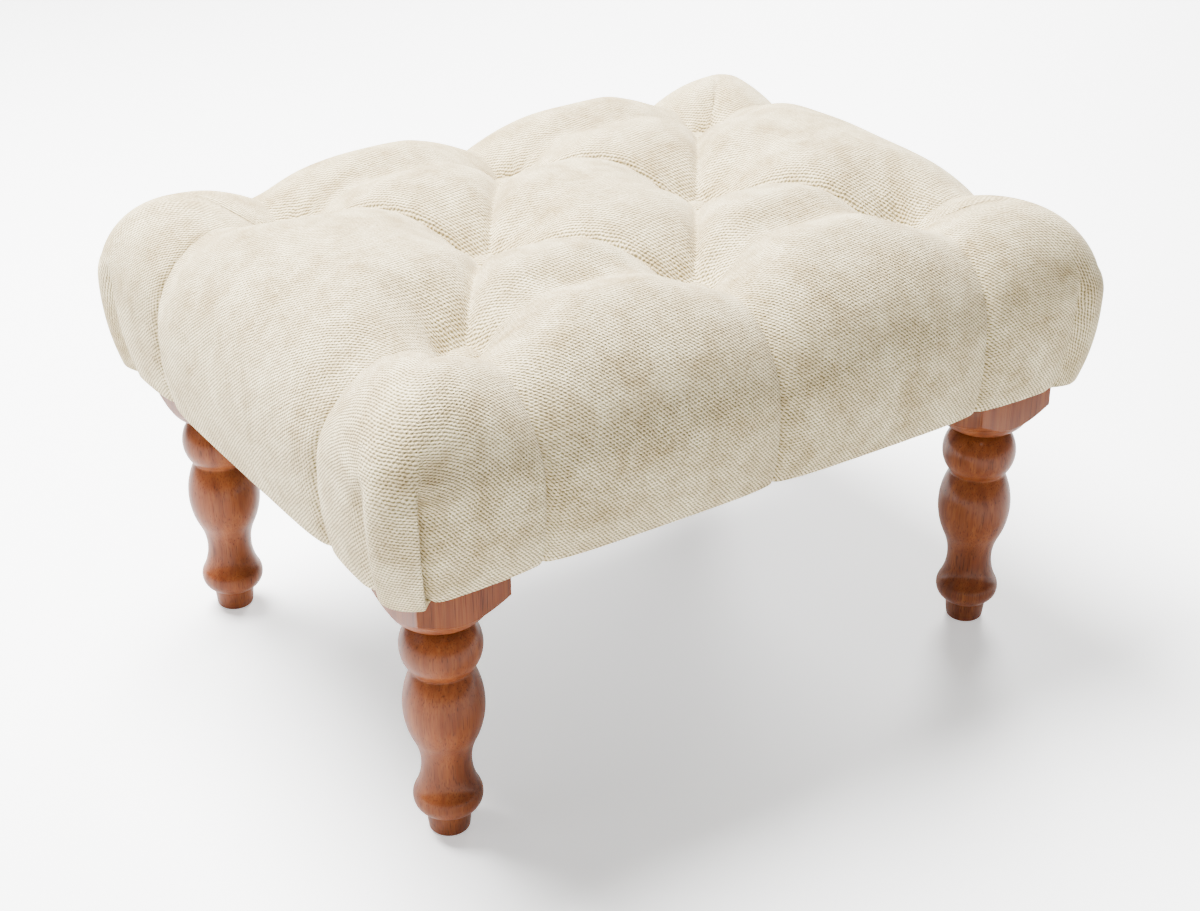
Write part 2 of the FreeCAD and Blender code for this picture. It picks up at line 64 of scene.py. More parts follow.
# height, radius, and the radius of the curve up to the next point, less than 0 where it is hollow
LEG_PROFILE = [
    (0.0000, 0.0120, None),
    (0.0012, 0.0132, None),
    (0.0150, 0.0146, 0.0123),
    (0.0330, 0.0204, -0.0430),
    (0.0700, 0.0200, 0.0570),
    (0.1215, 0.0192, 0.0246),
    (0.1575, 0.0168, 0.0180),
    (0.1680, 0.0320, None),
]
CORNERS = ((-1, -1), (1, -1), (1, 1), (-1, 1))
CORNER_NAMES = ("front_left", "front_right", "rear_right", "rear_left")
legs_high = Vector(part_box("turned_legs")[1])
bolts_low, bolts_high = (Vector(corner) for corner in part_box("leg_bolts"))
leg_x = legs_high.x - LEG_BLOCK / 2
leg_y = legs_high.y - LEG_BLOCK / 2
bolt_hole = bolts_high.x - leg_x + BOLT_PLAY


def linear(code):
    """An sRGB hex colour as linear light, with alpha."""
    channels = [int(code[i : i + 2], 16) / 255 for i in (1, 3, 5)]
    return [c / 12.92 if c <= 0.04045 else ((c + 0.055) / 1.055) ** 2.4 for c in channels] + [1.0]


def add_node(tree, kind, inputs=None, **settings):
    """Adds a node with its settings. An input takes a value or another node's output."""
    node = tree.nodes.new(kind)
    for name, value in settings.items():
        setattr(node, name, value)
    for name, value in (inputs or {}).items():
        if isinstance(value, bpy.types.NodeSocket):
            tree.links.new(value, node.inputs[name])
        else:
            node.inputs[name].default_value = value
    return node


def new_material(name, **constants):
    """A material whose shader has these constants, named as its sockets with _ for spaces."""
    material = bpy.data.materials.new(name)
    material.use_nodes = True
    shader = material.node_tree.nodes["Principled BSDF"]
    for socket, value in constants.items():
        shader.inputs[socket.replace("_", " ")].default_value = value
    return material, material.node_tree, shader


def new_piece(name, points, faces, material, smooth_below=40):
    """A mesh piece of the stool with its material, riding on the stool's one body."""
    mesh = bpy.data.meshes.new(name)
    mesh.from_pydata([tuple(point) for point in points], [], [tuple(face) for face in faces])
    mesh.validate()
    mesh.shade_smooth()
    mesh.set_sharp_from_angle(angle=math.radians(smooth_below))
    mesh.materials.append(material)
    piece = bpy.data.objects.new(name, mesh)
    bpy.context.scene.collection.objects.link(piece)
    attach(piece, "root")
    return piece


def turned_curve(start, end, radius):
    """Points of a profile's arc from start to end, without the end. It is hollow if the radius is below 0."""
    bulge = 1 if radius > 0 else -1
    chord = end - start
    outward = Vector((chord.y, -chord.x)).normalized() * bulge
    reach = math.sqrt(radius * radius - chord.length_squared / 4)
    centre = (start + end) / 2 - outward * reach
    sweep = 2 * math.asin(chord.length / 2 / abs(radius)) * bulge
    count = max(2, round(abs(radius * sweep) / TURNING_STEP))
    points = []
    for i in range(count):
        turn = -sweep / 2 + sweep * i / count
        across = outward * math.cos(turn) + chord.normalized() * math.sin(turn) * bulge
        points.append(centre + across * abs(radius))
    return points


def leg_outline():
    """Radius and height of the turning, sanded so that its creases are eased."""
    points = []
    for (z, radius, curve), (z_next, radius_next, _) in zip(LEG_PROFILE, LEG_PROFILE[1:]):
        start, end = Vector((radius, z)), Vector((radius_next, z_next))
        if curve:
            points += turned_curve(start, end, curve)
        else:
            count = max(2, round((end - start).length / TURNING_STEP))
            points += [start.lerp(end, i / count) for i in range(count)]
    last_z, last_radius, _ = LEG_PROFILE[-1]
    outline = np.array([tuple(point) for point in points] + [(last_radius, last_z)])
    for _ in range(SANDING_PASSES):
        outline[1:-1] = (outline[:-2] + 2 * outline[1:-1] + outline[2:]) / 4
    return outline


def around(sides, extra=()):
    """Angles once round, with some more beside each corner of a square."""
    turns = [2 * math.pi * i / sides for i in range(sides)]
    turns += [math.pi / 4 + math.pi / 2 * k + e for k in range(4) for e in extra]
    return np.array(sorted(turns))


def level_loop(turns, radius, z, x=0, y=0):
    """The points of a level loop round x, y."""
    return np.stack([x + radius * np.cos(turns), y + radius * np.sin(turns), z + 0 * turns], axis=1)


def rings(loops):
    """Points and faces of the skin over closed loops of equally many points, open at both ends."""
    count = len(loops[0])
    points = np.concatenate(loops)
    faces = []
    for ring in range(len(loops) - 1):
        for i in range(count):
            a, b = ring * count + i, ring * count + (i + 1) % count
            faces.append((a, b, b + count, a + count))
    return points, faces


def turned_leg():
    """Points and faces of a leg that stands on the origin, with the bolt's hole in its top."""
    turns = around(LEG_SIDES, CORNER_TURNS)
    half = LEG_BLOCK / 2
    beside, ahead = np.abs(np.cos(turns)), np.abs(np.sin(turns))
    square = half / (beside**BLOCK_SQUARENESS + ahead**BLOCK_SQUARENESS) ** (1 / BLOCK_SQUARENESS)
    cup_top = LEG_PROFILE[-1][0]
    shoulder = cup_top + SHOULDER_RISE * (square - half) / (half * (math.sqrt(2) - 1))
    top = legs_high.z
    eased = BLOCK_EDGE * UPPER_EDGE_SHARE
    places = [(CENTRE_HOLE, 0), *leg_outline()]
    places += [(half + (square - half) * s, cup_top + (shoulder - cup_top) * s) for s in SHOULDER_SHARES]
    places += [(square, shoulder + BLOCK_EDGE * share) for share in LOWER_EDGE_SHARES]
    places += [(square, top - BLOCK_EDGE), (square - eased, top - eased), (square - BLOCK_EDGE, top)]
    places += [(bolt_hole, top), (bolt_hole, bolts_low.z), (CENTRE_HOLE, bolts_low.z)]
    return rings([level_loop(turns, radius, z) for radius, z in places])


# Stained cherry: fine straight grain with small dark pores and slow bands of lighter and darker
# wood; the lacquer lies smooth over it and gives narrow soft highlights.
CHERRY_BAND = 0.009
# real fibres and pores are under 0.2 mm wide; they are drawn as coarse as they need to show
CHERRY_FIBRE = 0.0011
CHERRY_PORE = 0.0006
PORE_DEPTH = 0.0002
# the pattern's scale along the grain, where 1 would be as long as it is wide
BAND_STRETCH = 0.06
FIBRE_STRETCH = 0.018
cherry, tree, shader = new_material(
    "stained_cherry",
    Roughness=0.5,
    IOR=1.5,
    Specular_IOR_Level=0.06,
    Coat_Weight=0.16,
    Coat_Roughness=0.12,
)
place = add_node(tree, "ShaderNodeTexCoord").outputs["Object"]
band_grain = add_node(
    tree, "ShaderNodeMapping", {"Vector": place, "Scale": (1, 1, BAND_STRETCH)}
).outputs["Vector"]
fibre_grain = add_node(
    tree, "ShaderNodeMapping", {"Vector": place, "Scale": (1, 1, FIBRE_STRETCH)}
).outputs["Vector"]
bands = add_node(
    tree,
    "ShaderNodeTexNoise",
    {"Vector": band_grain, "Scale": 1 / CHERRY_BAND, "Detail": 3.0, "Distortion": 0.6},
)
fibres = add_node(
    tree, "ShaderNodeTexNoise", {"Vector": fibre_grain, "Scale": 1 / CHERRY_FIBRE, "Detail": 2.0}
)
pores = add_node(
    tree, "ShaderNodeTexNoise", {"Vector": fibre_grain, "Scale": 1 / CHERRY_PORE, "Detail": 1.0}
)
# each layer of the wood over the last: its pattern, where that begins and is full, its most, its colour
layers = (
    (bands, 0.32, 0.68, 1.0, "#784220"),
    (fibres, 0.35, 0.70, 0.55, "#652c0f"),
    (pores, 0.56, 0.70, 0.6, "#240a03"),
)
wood_colour = linear("#532812")
for pattern, begins, full, most, tint in layers:
    share = add_node(
        tree,
        "ShaderNodeMapRange",
        {"Value": pattern.outputs["Fac"], "From Min": begins, "From Max": full, "To Max": most},
    ).outputs["Result"]
    layer = add_node(
        tree, "ShaderNodeMix", {"Factor": share, "A": wood_colour, "B": linear(tint)}, data_type="RGBA"
    )
    wood_colour = layer.outputs["Result"]
tree.links.new(wood_colour, shader.inputs["Base Color"])
# the last layer is the pores, which are hollow
pore_bump = add_node(
    tree, "ShaderNodeBump", {"Height": share, "Strength": 0.35, "Distance": PORE_DEPTH}, invert=True
)
tree.links.new(pore_bump.outputs["Normal"], shader.inputs["Normal"])

leg_points, leg_faces = turned_leg()
for name, (across, up) in zip(CORNER_NAMES, CORNERS):
    standing = leg_points + np.array([across * leg_x, up * leg_y, 0])
    leg = new_piece(f"{name}_leg", standing, leg_faces, cherry, smooth_below=28)
    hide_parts("turned_legs")

# Timber frame: four softwood rails, planed and let into each other at the corners, with a glued block
# in each corner. The wood is left bare because the cover hides it.

# Planed pine: pale yellow and matt, with darker streaks of late wood along the grain.
PINE_RING = 0.006
# real fibres are much finer; they are drawn as coarse as they need to show
PINE_FIBRE = 0.0012
PINE_STRETCH = 0.05
PINE_RELIEF = 0.0002


def bare_pine(name, grain_axis):
    """Planed pine with its grain along one axis, 0 for x to 2 for z."""
    material, tree, shader = new_material(name, Roughness=0.62, IOR=1.45)
    stretch = [1, 1, 1]
    stretch[grain_axis] = PINE_STRETCH
    place = add_node(tree, "ShaderNodeTexCoord").outputs["Object"]
    grain = add_node(tree, "ShaderNodeMapping", {"Vector": place, "Scale": stretch}).outputs[0]
    growth = add_node(tree, "ShaderNodeTexNoise", {"Vector": grain, "Scale": 1 / PINE_RING, "Detail": 4.0})
    fibres = add_node(tree, "ShaderNodeTexNoise", {"Vector": grain, "Scale": 1 / PINE_FIBRE, "Detail": 2.0})
    share = add_node(
        tree, "ShaderNodeMapRange", {"Value": growth.outputs["Fac"], "From Min": 0.35, "From Max": 0.65}
    )
    colour = add_node(
        tree,
        "ShaderNodeMix",
        {"Factor": share.outputs["Result"], "A": linear("#d9b887"), "B": linear("#b98a55")},
        data_type="RGBA",
    )
    tree.links.new(colour.outputs["Result"], shader.inputs["Base Color"])
    bump = add_node(
        tree, "ShaderNodeBump", {"Height": fibres.outputs["Fac"], "Strength": 0.3, "Distance": PINE_RELIEF}
    )
    tree.links.new(bump.outputs["Normal"], shader.inputs["Normal"])
    return material


def paint(name, material):
    """Gives a CAD piece its finish."""
    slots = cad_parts[name].data.materials
    slots.clear()
    slots.append(material)


timbers = (
    ("planed_pine_long", ["front_rail", "rear_rail"]),
    ("planed_pine_short", ["left_rail", "right_rail"]),
    ("planed_pine_blocks", [f"{name}_corner_block" for name in CORNER_NAMES]),
)
for grain_axis, (material_name, timber_names) in enumerate(timbers):
    pine = bare_pine(material_name, grain_axis)
    for name in timber_names:
        paint(name, pine)

# Hanger bolts and nuts: steel, cold formed and zinc plated. A bolt is screwed into each leg, and its nut
# is turned down on the corner block.

# Zinc plate: pale grey and satin, with faint cloudy patches that are a little brighter and rougher.
ZINC_CLOUD = 0.004
zinc, tree, shader = new_material("zinc_plated_steel", Metallic=1.0)
place = add_node(tree, "ShaderNodeTexCoord").outputs["Object"]
clouds = add_node(tree, "ShaderNodeTexNoise", {"Vector": place, "Scale": 1 / ZINC_CLOUD, "Detail": 5.0})
zinc_colour = add_node(
    tree,
    "ShaderNodeMix",
    {"Factor": clouds.outputs["Fac"], "A": linear("#a3a7ab"), "B": linear("#cfd1d2")},
    data_type="RGBA",
)
tree.links.new(zinc_colour.outputs["Result"], shader.inputs["Base Color"])
zinc_roughness = add_node(
    tree, "ShaderNodeMapRange", {"Value": clouds.outputs["Fac"], "To Min": 0.26, "To Max": 0.45}
)
tree.links.new(zinc_roughness.outputs["Result"], shader.inputs["Roughness"])
paint("leg_bolts", zinc)
paint("leg_nuts", zinc)

# Seat board: birch plywood, sawn to size and screwed down on the rails. It closes the frame, carries the
# foam, and is bored for the twines of the buttons.

# Birch plywood: pale and sanded smooth, with a long quiet figure, and with light and dark layers of
# 1.5 mm that show at its edges.
PLY_LAYER = 0.0015
PLY_FIGURE = 0.012
PLY_STRETCH = 0.08
birch, tree, shader = new_material("birch_plywood", Roughness=0.55, IOR=1.45)
place = add_node(tree, "ShaderNodeTexCoord").outputs["Object"]
figure_grain = add_node(tree, "ShaderNodeMapping", {"Vector": place, "Scale": (PLY_STRETCH, 1, 1)}).outputs[0]
figure = add_node(
    tree, "ShaderNodeTexNoise", {"Vector": figure_grain, "Scale": 1 / PLY_FIGURE, "Detail": 5.0}
)
height = add_node(tree, "ShaderNodeSeparateXYZ", {"Vector": place}).outputs["Z"]
layer_turn = add_node(tree, "ShaderNodeMath", {0: height, 1: math.pi / PLY_LAYER}, operation="MULTIPLY")
layer_wave = add_node(tree, "ShaderNodeMath", {0: layer_turn.outputs["Value"]}, operation="SINE")
layer_share = add_node(
    tree,
    "ShaderNodeMapRange",
    {"Value": layer_wave.outputs["Value"], "From Min": -0.3, "From Max": 0.3, "To Max": 0.4},
)
figure_colour = add_node(
    tree,
    "ShaderNodeMix",
    {"Factor": figure.outputs["Fac"], "A": linear("#dcc296"), "B": linear("#c7a470")},
    data_type="RGBA",
)
ply_colour = add_node(
    tree,
    "ShaderNodeMix",
    {"Factor": layer_share.outputs["Result"], "A": figure_colour.outputs["Result"], "B": linear("#a9814d")},
    data_type="RGBA",
)
tree.links.new(ply_colour.outputs["Result"], shader.inputs["Base Color"])
paint("seat_board", birch)

# Foam and wadding: a slab of cream polyurethane foam with its top edges cut off at a slant, under a
# sheet of white bonded polyester. Both are springy, so their tops crown a little.

# lines across a pad, as shares of half its size
PAD_LINES = [-1, -0.98, *np.linspace(-0.9, 0.9, 31), 0.98, 1]
PAD_CROWN = 0.001
FOAM_BEVEL = 0.45
WADDING_BEVEL = 0.38


def soft_slab(name, node, bevel_share, material):
    """A pad in the place of a CAD slab, with a slanted top edge and a crowned top."""
    low, high = (Vector(corner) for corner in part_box(node))
    bevel = (high.z - low.z) * bevel_share
    count = len(PAD_LINES)
    top = count * count
    points = [(u * high.x, v * high.y, low.z) for v in PAD_LINES for u in PAD_LINES]
    for v in PAD_LINES:
        for u in PAD_LINES:
            x = math.copysign(min(abs(u) * high.x, high.x - bevel), u)
            y = math.copysign(min(abs(v) * high.y, high.y - bevel), v)
            points.append((x, y, high.z - PAD_CROWN + PAD_CROWN * (1 - u * u) * (1 - v * v)))
    faces = []
    for first, way in ((0, -1), (top, 1)):
        for j in range(count - 1):
            for i in range(count - 1):
                a = first + j * count + i
                faces.append((a, a + 1, a + count + 1, a + count)[::way])
    rim = list(range(count)) + [j * count + count - 1 for j in range(1, count)]
    rim += [(count - 1) * count + i for i in range(count - 2, -1, -1)]
    rim += [j * count for j in range(count - 2, 0, -1)]
    slant = len(points)
    points += [(points[k][0], points[k][1], high.z - bevel - PAD_CROWN) for k in rim]
    for n, k in enumerate(rim):
        m = (n + 1) % len(rim)
        faces.append((k, rim[m], slant + m, slant + n))
        faces.append((slant + n, slant + m, top + rim[m], top + k))
    piece = new_piece(name, points, faces, material, smooth_below=50)
    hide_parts(node)


def one_pattern(name, kind, pattern, colours, relief=None, **constants):
    """A material of two colours in one pattern, in relief where its strength and height are given."""
    material, tree, shader = new_material(name, **constants)
    place = add_node(tree, "ShaderNodeTexCoord").outputs["Object"]
    spots = add_node(tree, kind, {"Vector": place, **pattern}).outputs[0]
    one, other = (linear(colour) for colour in colours)
    colour = add_node(tree, "ShaderNodeMix", {"Factor": spots, "A": one, "B": other}, data_type="RGBA")
    tree.links.new(colour.outputs["Result"], shader.inputs["Base Color"])
    if relief:
        strength, height = relief
        bump = add_node(
            tree, "ShaderNodeBump", {"Height": spots, "Strength": strength, "Distance": height}
        )
        tree.links.new(bump.outputs["Normal"], shader.inputs["Normal"])
    return material


# Cut foam: cream and quite dull, with small open cells. Real ones are about 0.5 mm across and are drawn
# as coarse as they need to show.
FOAM_CELL = 0.0012
foam = one_pattern(
    "cut_foam",
    "ShaderNodeTexVoronoi",
    {"Scale": 1 / FOAM_CELL},
    ("#c9b77e", "#efe3b4"),
    relief=(0.6, 0.0004),
    Roughness=0.95,
    IOR=1.4,
)
soft_slab("foam_pad", "seat_foam", FOAM_BEVEL, foam)

# Bonded polyester: white and fluffy, in loose tufts of a few millimetres, with a faint sheen.
FIBRE_TUFT = 0.004
polyester = one_pattern(
    "polyester_wadding",
    "ShaderNodeTexNoise",
    {"Scale": 1 / FIBRE_TUFT, "Detail": 8.0, "Distortion": 2.0},
    ("#d9d9d6", "#fbfbfa"),
    relief=(0.7, 0.001),
    Roughness=0.9,
    IOR=1.45,
    Sheen_Weight=0.3,
)
soft_slab("wadding_sheet", "wadding", WADDING_BEVEL, polyester)

# Cushion cover: a cream woven chenille in a fine slanting twill, drawn down by eight buttons over loose
# stuffing. Its spare cloth is tucked into diagonal creases between the buttons, into a pleat from each
# outer button down the side, and into two folds at every corner. It is stapled under the frame.

cover_low, cover_high = (Vector(corner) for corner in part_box("tufted_cover"))
buttons_low, buttons_high = (Vector(corner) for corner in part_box("cover_buttons"))
BUTTON_RADIUS = 0.011
NEAR = 1e-6
gap_x = buttons_high.x - BUTTON_RADIUS
gap_y = buttons_high.y - BUTTON_RADIUS
BUTTONS = [(-gap_x, -gap_y), (0, -gap_y), (gap_x, -gap_y), (-gap_x / 2, 0), (gap_x / 2, 0)]
BUTTONS += [(-gap_x, gap_y), (0, gap_y), (gap_x, gap_y)]

# The untufted cover has a flat top, a rolled edge that is fuller at the corners, sides that draw in
# towards the hem, and a margin turned in under the frame. A profile's level is the height of its
# fullest part, and its fullness is 2 for a plain ellipse and less for a flatter roll.
CLOTH_STEP = 0.0034
HALF_GAP_CELLS = 24
PLEAT_COLUMN = 0.0014
ROLL_OUT = 0.095
ROLL_ROWS = 40
ROLL_CROWDING = 1.25
EDGE_FULLNESS = 1.85
EDGE_LEVEL = 0.258
CORNER_FULLNESS = 2.0
CORNER_LEVEL = 0.267
SIDE_ROWS = 19
SIDE_SWELL = 0.009
SWELL_SHAPE = 2.4
HEM_ROUND = 0.002
HEM_ROWS = 4
OPENING_INSIDE = 0.041
CLOTH_THICKNESS = 0.0012
GAPS = (gap_x, gap_y)
EDGES = (cover_high.x - ROLL_OUT, cover_high.y - ROLL_OUT)


def steps(start, end, step):
    """Even places from start to end, about a step apart."""
    count = max(1, round(abs(end - start) / step))
    return list(np.linspace(start, end, count + 1))


def grid_lines(axis, cells, middle_pleat):
    """Lines across the top: even cells between the buttons, then out to where the edge rolls over."""
    gap = GAPS[axis]
    inner = list(np.linspace(0, gap, cells + 1))
    outer = steps(gap, EDGES[axis], CLOTH_STEP)[1:]
    half = inner + outer + [gap - PLEAT_COLUMN, gap + PLEAT_COLUMN] + middle_pleat * [PLEAT_COLUMN]
    return np.array(sorted([-line for line in half if line] + half))


def edge_profile(fullness, level):
    """Rows over the rolled edge and down the side: along the cloth, out, height and is it the underside."""
    rows = []
    for share in np.linspace(0, 1, ROLL_ROWS + 1)[1:]:
        turn = share**ROLL_CROWDING * math.pi / 2
        across, up = math.sin(turn) ** (2 / fullness), math.cos(turn) ** (2 / fullness)
        rows.append((ROLL_OUT * across, level + (cover_high.z - level) * up, False))
    for z in np.linspace(level, cover_low.z + HEM_ROUND, SIDE_ROWS + 1)[1:]:
        rise = (z - cover_low.z) / (level - cover_low.z)
        rows.append((ROLL_OUT - SIDE_SWELL * (1 - rise) ** SWELL_SHAPE, z, False))
    out = rows[-1][0]
    for turn in np.linspace(0, math.pi / 2, HEM_ROWS + 1)[1:]:
        drop = HEM_ROUND * math.sin(turn)
        rows.append((out - HEM_ROUND * (1 - math.cos(turn)), cover_low.z + HEM_ROUND - drop, True))
    for inward in steps(rows[-1][0], ROLL_OUT - OPENING_INSIDE, CLOTH_STEP)[1:]:
        rows.append((inward, cover_low.z, True))
    rows.append((ROLL_OUT - OPENING_INSIDE, cover_low.z + CLOTH_THICKNESS, True))
    along, previous = 0, (0, cover_high.z)
    result = []
    for out, z, under in rows:
        along += math.hypot(out - previous[0], z - previous[1])
        previous = (out, z)
        result.append((along, out, z, under))
    return result


EDGE_PROFILE = edge_profile(EDGE_FULLNESS, EDGE_LEVEL)
CORNER_PROFILE = edge_profile(CORNER_FULLNESS, CORNER_LEVEL)
SIDE_LENGTH = max(along for along, out, z, under in EDGE_PROFILE if not under)

# Each corner is rounded seen from above, and its spare cloth makes a soft fold and an open slit with a
# panel between them.
CORNER_ROUND = 0.024
CORNER_CELLS = 32
SOFT_FOLD = math.radians(33)
SLIT = math.radians(52)
FOLD_ARM = 0.108
FOLD_CLEAR = 0.011
# the grid's columns at a fold, by their distance from it round the corner
FOLD_COLUMNS = np.array([-0.009, -0.006, -0.0035, -0.0018, -0.0008, 0, 0.0008, 0.0018, 0.0035, 0.006, 0.009])


def corner_reach(turn):
    """How far the rounded corner is from where the edges meet, for out = 1."""
    across, up = abs(math.cos(turn)), abs(math.sin(turn))
    radius = CORNER_ROUND / ROLL_OUT
    middle = 1 - radius
    flat = 1 / max(across, up)
    if min(across, up) * flat <= middle:
        return flat
    centre = (across + up) * middle
    return centre + math.sqrt(max(0, radius * radius - 2 * middle * middle + centre * centre))


def corner_folds(k):
    """The turn of a corner's soft fold and of its slit. The rear left corner is folded the other way."""
    return (math.pi / 2 - SOFT_FOLD, math.pi / 2 - SLIT) if k == 3 else (SOFT_FOLD, SLIT)


def corner_turns(k):
    """Angles across a corner, closer together at the two folds."""
    turns = set(np.linspace(0, math.pi / 2, CORNER_CELLS + 1).round(5))
    for fold in corner_folds(k):
        turns = {turn for turn in turns if abs(turn - fold) > FOLD_CLEAR / FOLD_ARM}
        turns |= {round(fold + shift, 5) for shift in FOLD_COLUMNS / FOLD_ARM}
    return sorted(turns)


# how much of the corner's profile the edges have taken on at their ends, and how far before the last
# pleat that begins
CORNER_BLEND = 0.6
BLEND_START = 0.012


def cloth_grid():
    """Points and faces of the untufted cover, and the fields of its points: their place on the flat
    cloth, the way out, how far along the profile they are, and its row."""
    xs = grid_lines(0, 2 * HALF_GAP_CELLS, 1)
    ys = grid_lines(1, HALF_GAP_CELLS, 0)
    points, flat, outward, length_of, row_of, faces = [], [], [], [], [], []

    def block(columns):
        """Faces over a list of columns of point numbers."""
        for left, right in zip(columns, columns[1:]):
            for a, b, c, d in zip(left, left[1:], right[1:], right):
                faces.append((a, b, c, d))

    index = {}
    for i, x in enumerate(xs):
        for j, y in enumerate(ys):
            index[i, j] = len(points)
            points.append((x, y, cover_high.z))
            flat.append((x, y))
            outward.append((0, 0))
            length_of.append(0)
            row_of.append(-1)
    for i in range(len(xs) - 1):
        for j in range(len(ys) - 1):
            faces.append((index[i, j], index[i + 1, j], index[i + 1, j + 1], index[i, j + 1]))

    def strand(start, x, y, direction, at_corner, reach=1.0):
        """A column of points from the top's edge outwards and down, fuller at the corners."""
        column = [start]
        for row, (edge, corner) in enumerate(zip(EDGE_PROFILE, CORNER_PROFILE)):
            along, out, z = (a + (b - a) * at_corner for a, b in zip(edge[:3], corner[:3]))
            column.append(len(points))
            points.append((x + direction[0] * out * reach, y + direction[1] * out * reach, z))
            flat.append((x + direction[0] * along, y + direction[1] * along))
            outward.append(direction)
            length_of.append(along)
            row_of.append(row)
        return column

    def corner_share(place, axis):
        """How much of the corner's profile a strand has: none in the middle, most at the end."""
        run = EDGES[axis] - GAPS[axis] + BLEND_START
        share = np.clip((abs(place) - GAPS[axis] + BLEND_START) / run, 0, 1)
        return CORNER_BLEND * share * share * (3 - 2 * share)

    last_i, last_j = len(xs) - 1, len(ys) - 1
    on_x = [corner_share(x, 0) for x in xs]
    on_y = [corner_share(y, 1) for y in ys]
    front = [strand(index[i, 0], xs[i], ys[0], (0, -1), on_x[i]) for i in range(last_i + 1)]
    right = [strand(index[last_i, j], xs[last_i], ys[j], (1, 0), on_y[j]) for j in range(last_j + 1)]
    rear = [strand(index[i, last_j], xs[i], ys[last_j], (0, 1), on_x[i]) for i in range(last_i, -1, -1)]
    left = [strand(index[0, j], xs[0], ys[j], (-1, 0), on_y[j]) for j in range(last_j, -1, -1)]
    sides = (left, front, right, rear)
    ends = ((0, 0), (last_i, 0), (last_i, last_j), (0, last_j))
    for k, (i, j) in enumerate(ends):
        before, after = sides[k], sides[(k + 1) % 4]
        base = math.pi + math.pi / 2 * k
        columns = [before[-1]]
        for turn in corner_turns(k)[1:-1]:
            angle = base + turn
            direction = (math.cos(angle), math.sin(angle))
            at_corner = CORNER_BLEND + (1 - CORNER_BLEND) * math.sin(2 * turn)
            columns.append(strand(index[i, j], xs[i], ys[j], direction, at_corner, corner_reach(angle)))
        columns.append(after[0])
        block(columns)
    for side in sides:
        block(side)
    fields = [np.array(field) for field in (flat, outward, length_of, row_of)]
    return np.array(points), faces, fields


def weld(points, faces, *fields):
    """Joins points that lie in one place, to a micrometre."""
    keys = np.round(points * 1e6).astype(np.int64)
    _, keep, joined = np.unique(keys, axis=0, return_index=True, return_inverse=True)
    joined = joined.ravel()
    kept_faces = []
    for face in faces:
        corners = [int(joined[k]) for k in face]
        corners = [c for n, c in enumerate(corners) if c != corners[n - 1]]
        if len(set(corners)) > 2:
            kept_faces.append(tuple(corners))
    return points[keep], kept_faces, [field[keep] for field in fields]


# The buttons, creases and pleats hold the cloth down at these depths. A crease is deepest at its
# buttons. A pleat is as deep as the pit at its button and grows shallower down to the hem.
PIT_DEPTH = 0.045
PIT_REACH = 1.1 * BUTTON_RADIUS
CREASE_DEPTH = 0.026
CREASE_SHAPE = 2.0
PLEAT_DEPTH = 0.020
PLEAT_RUN = 0.060
PIT_FADE = 1.2
PLEAT_EASE = 0.55
HEM_PLEAT_DEPTH = 0.005
CREASES = [
    (one, other)
    for one in BUTTONS
    for other in BUTTONS
    if abs(abs(one[0] - other[0]) - gap_x / 2) < NEAR and NEAR < other[1] - one[1] < 1.5 * gap_y
]
# the axis that each pleat runs along, its way along it, and its place on the other axis
PLEATS = [
    (axis, math.copysign(1, button[axis]), button[1 - axis])
    for button in BUTTONS
    for axis in (0, 1)
    if abs(button[axis]) > GAPS[axis] - NEAR
]


def held_down(flat):
    """How deep the cloth is drawn down where it is held, and no number elsewhere."""
    depth = np.full(len(flat), np.nan)
    for start, end in CREASES:
        start, end = np.array(start), np.array(end)
        chord = end - start
        share = ((flat - start) @ chord) / (chord @ chord)
        aside = chord[0] * (flat[:, 1] - start[1]) - chord[1] * (flat[:, 0] - start[0])
        on = (np.abs(aside) / np.linalg.norm(chord) < NEAR) & (share >= -NEAR) & (share <= 1 + NEAR)
        near_button = np.abs(2 * share[on] - 1) ** CREASE_SHAPE
        depth[on] = CREASE_DEPTH + (PIT_DEPTH - CREASE_DEPTH) * near_button
    for axis, way, place in PLEATS:
        run = way * flat[:, axis] - GAPS[axis]
        on = (np.abs(flat[:, 1 - axis] - place) < NEAR) & (run >= -NEAR)
        whole_run = SIDE_LENGTH + EDGES[axis] - GAPS[axis]
        down = np.clip((run[on] - PLEAT_RUN) / (whole_run - PLEAT_RUN), 0, 1)
        near_pit = np.clip(1 - run[on] / PLEAT_RUN, 0, 1) ** PIT_FADE
        depth[on] = PLEAT_DEPTH + (PIT_DEPTH - PLEAT_DEPTH) * near_pit
        depth[on] += (HEM_PLEAT_DEPTH - PLEAT_DEPTH) * down**PLEAT_EASE
    for x, y in BUTTONS:
        depth[np.hypot(flat[:, 0] - x, flat[:, 1] - y) < PIT_REACH] = PIT_DEPTH
    return depth


def split_along_creases(faces, held):
    """Cuts a face in two where a crease crosses it from corner to corner."""
    result = []
    for face in faces:
        on = [bool(held[k]) for k in face]
        if on == [True, False, True, False]:
            result += [face[:3], (face[0], face[2], face[3])]
        elif on == [False, True, False, True]:
            result += [(face[0], face[1], face[3]), face[1:]]
        else:
            result.append(face)
    return result


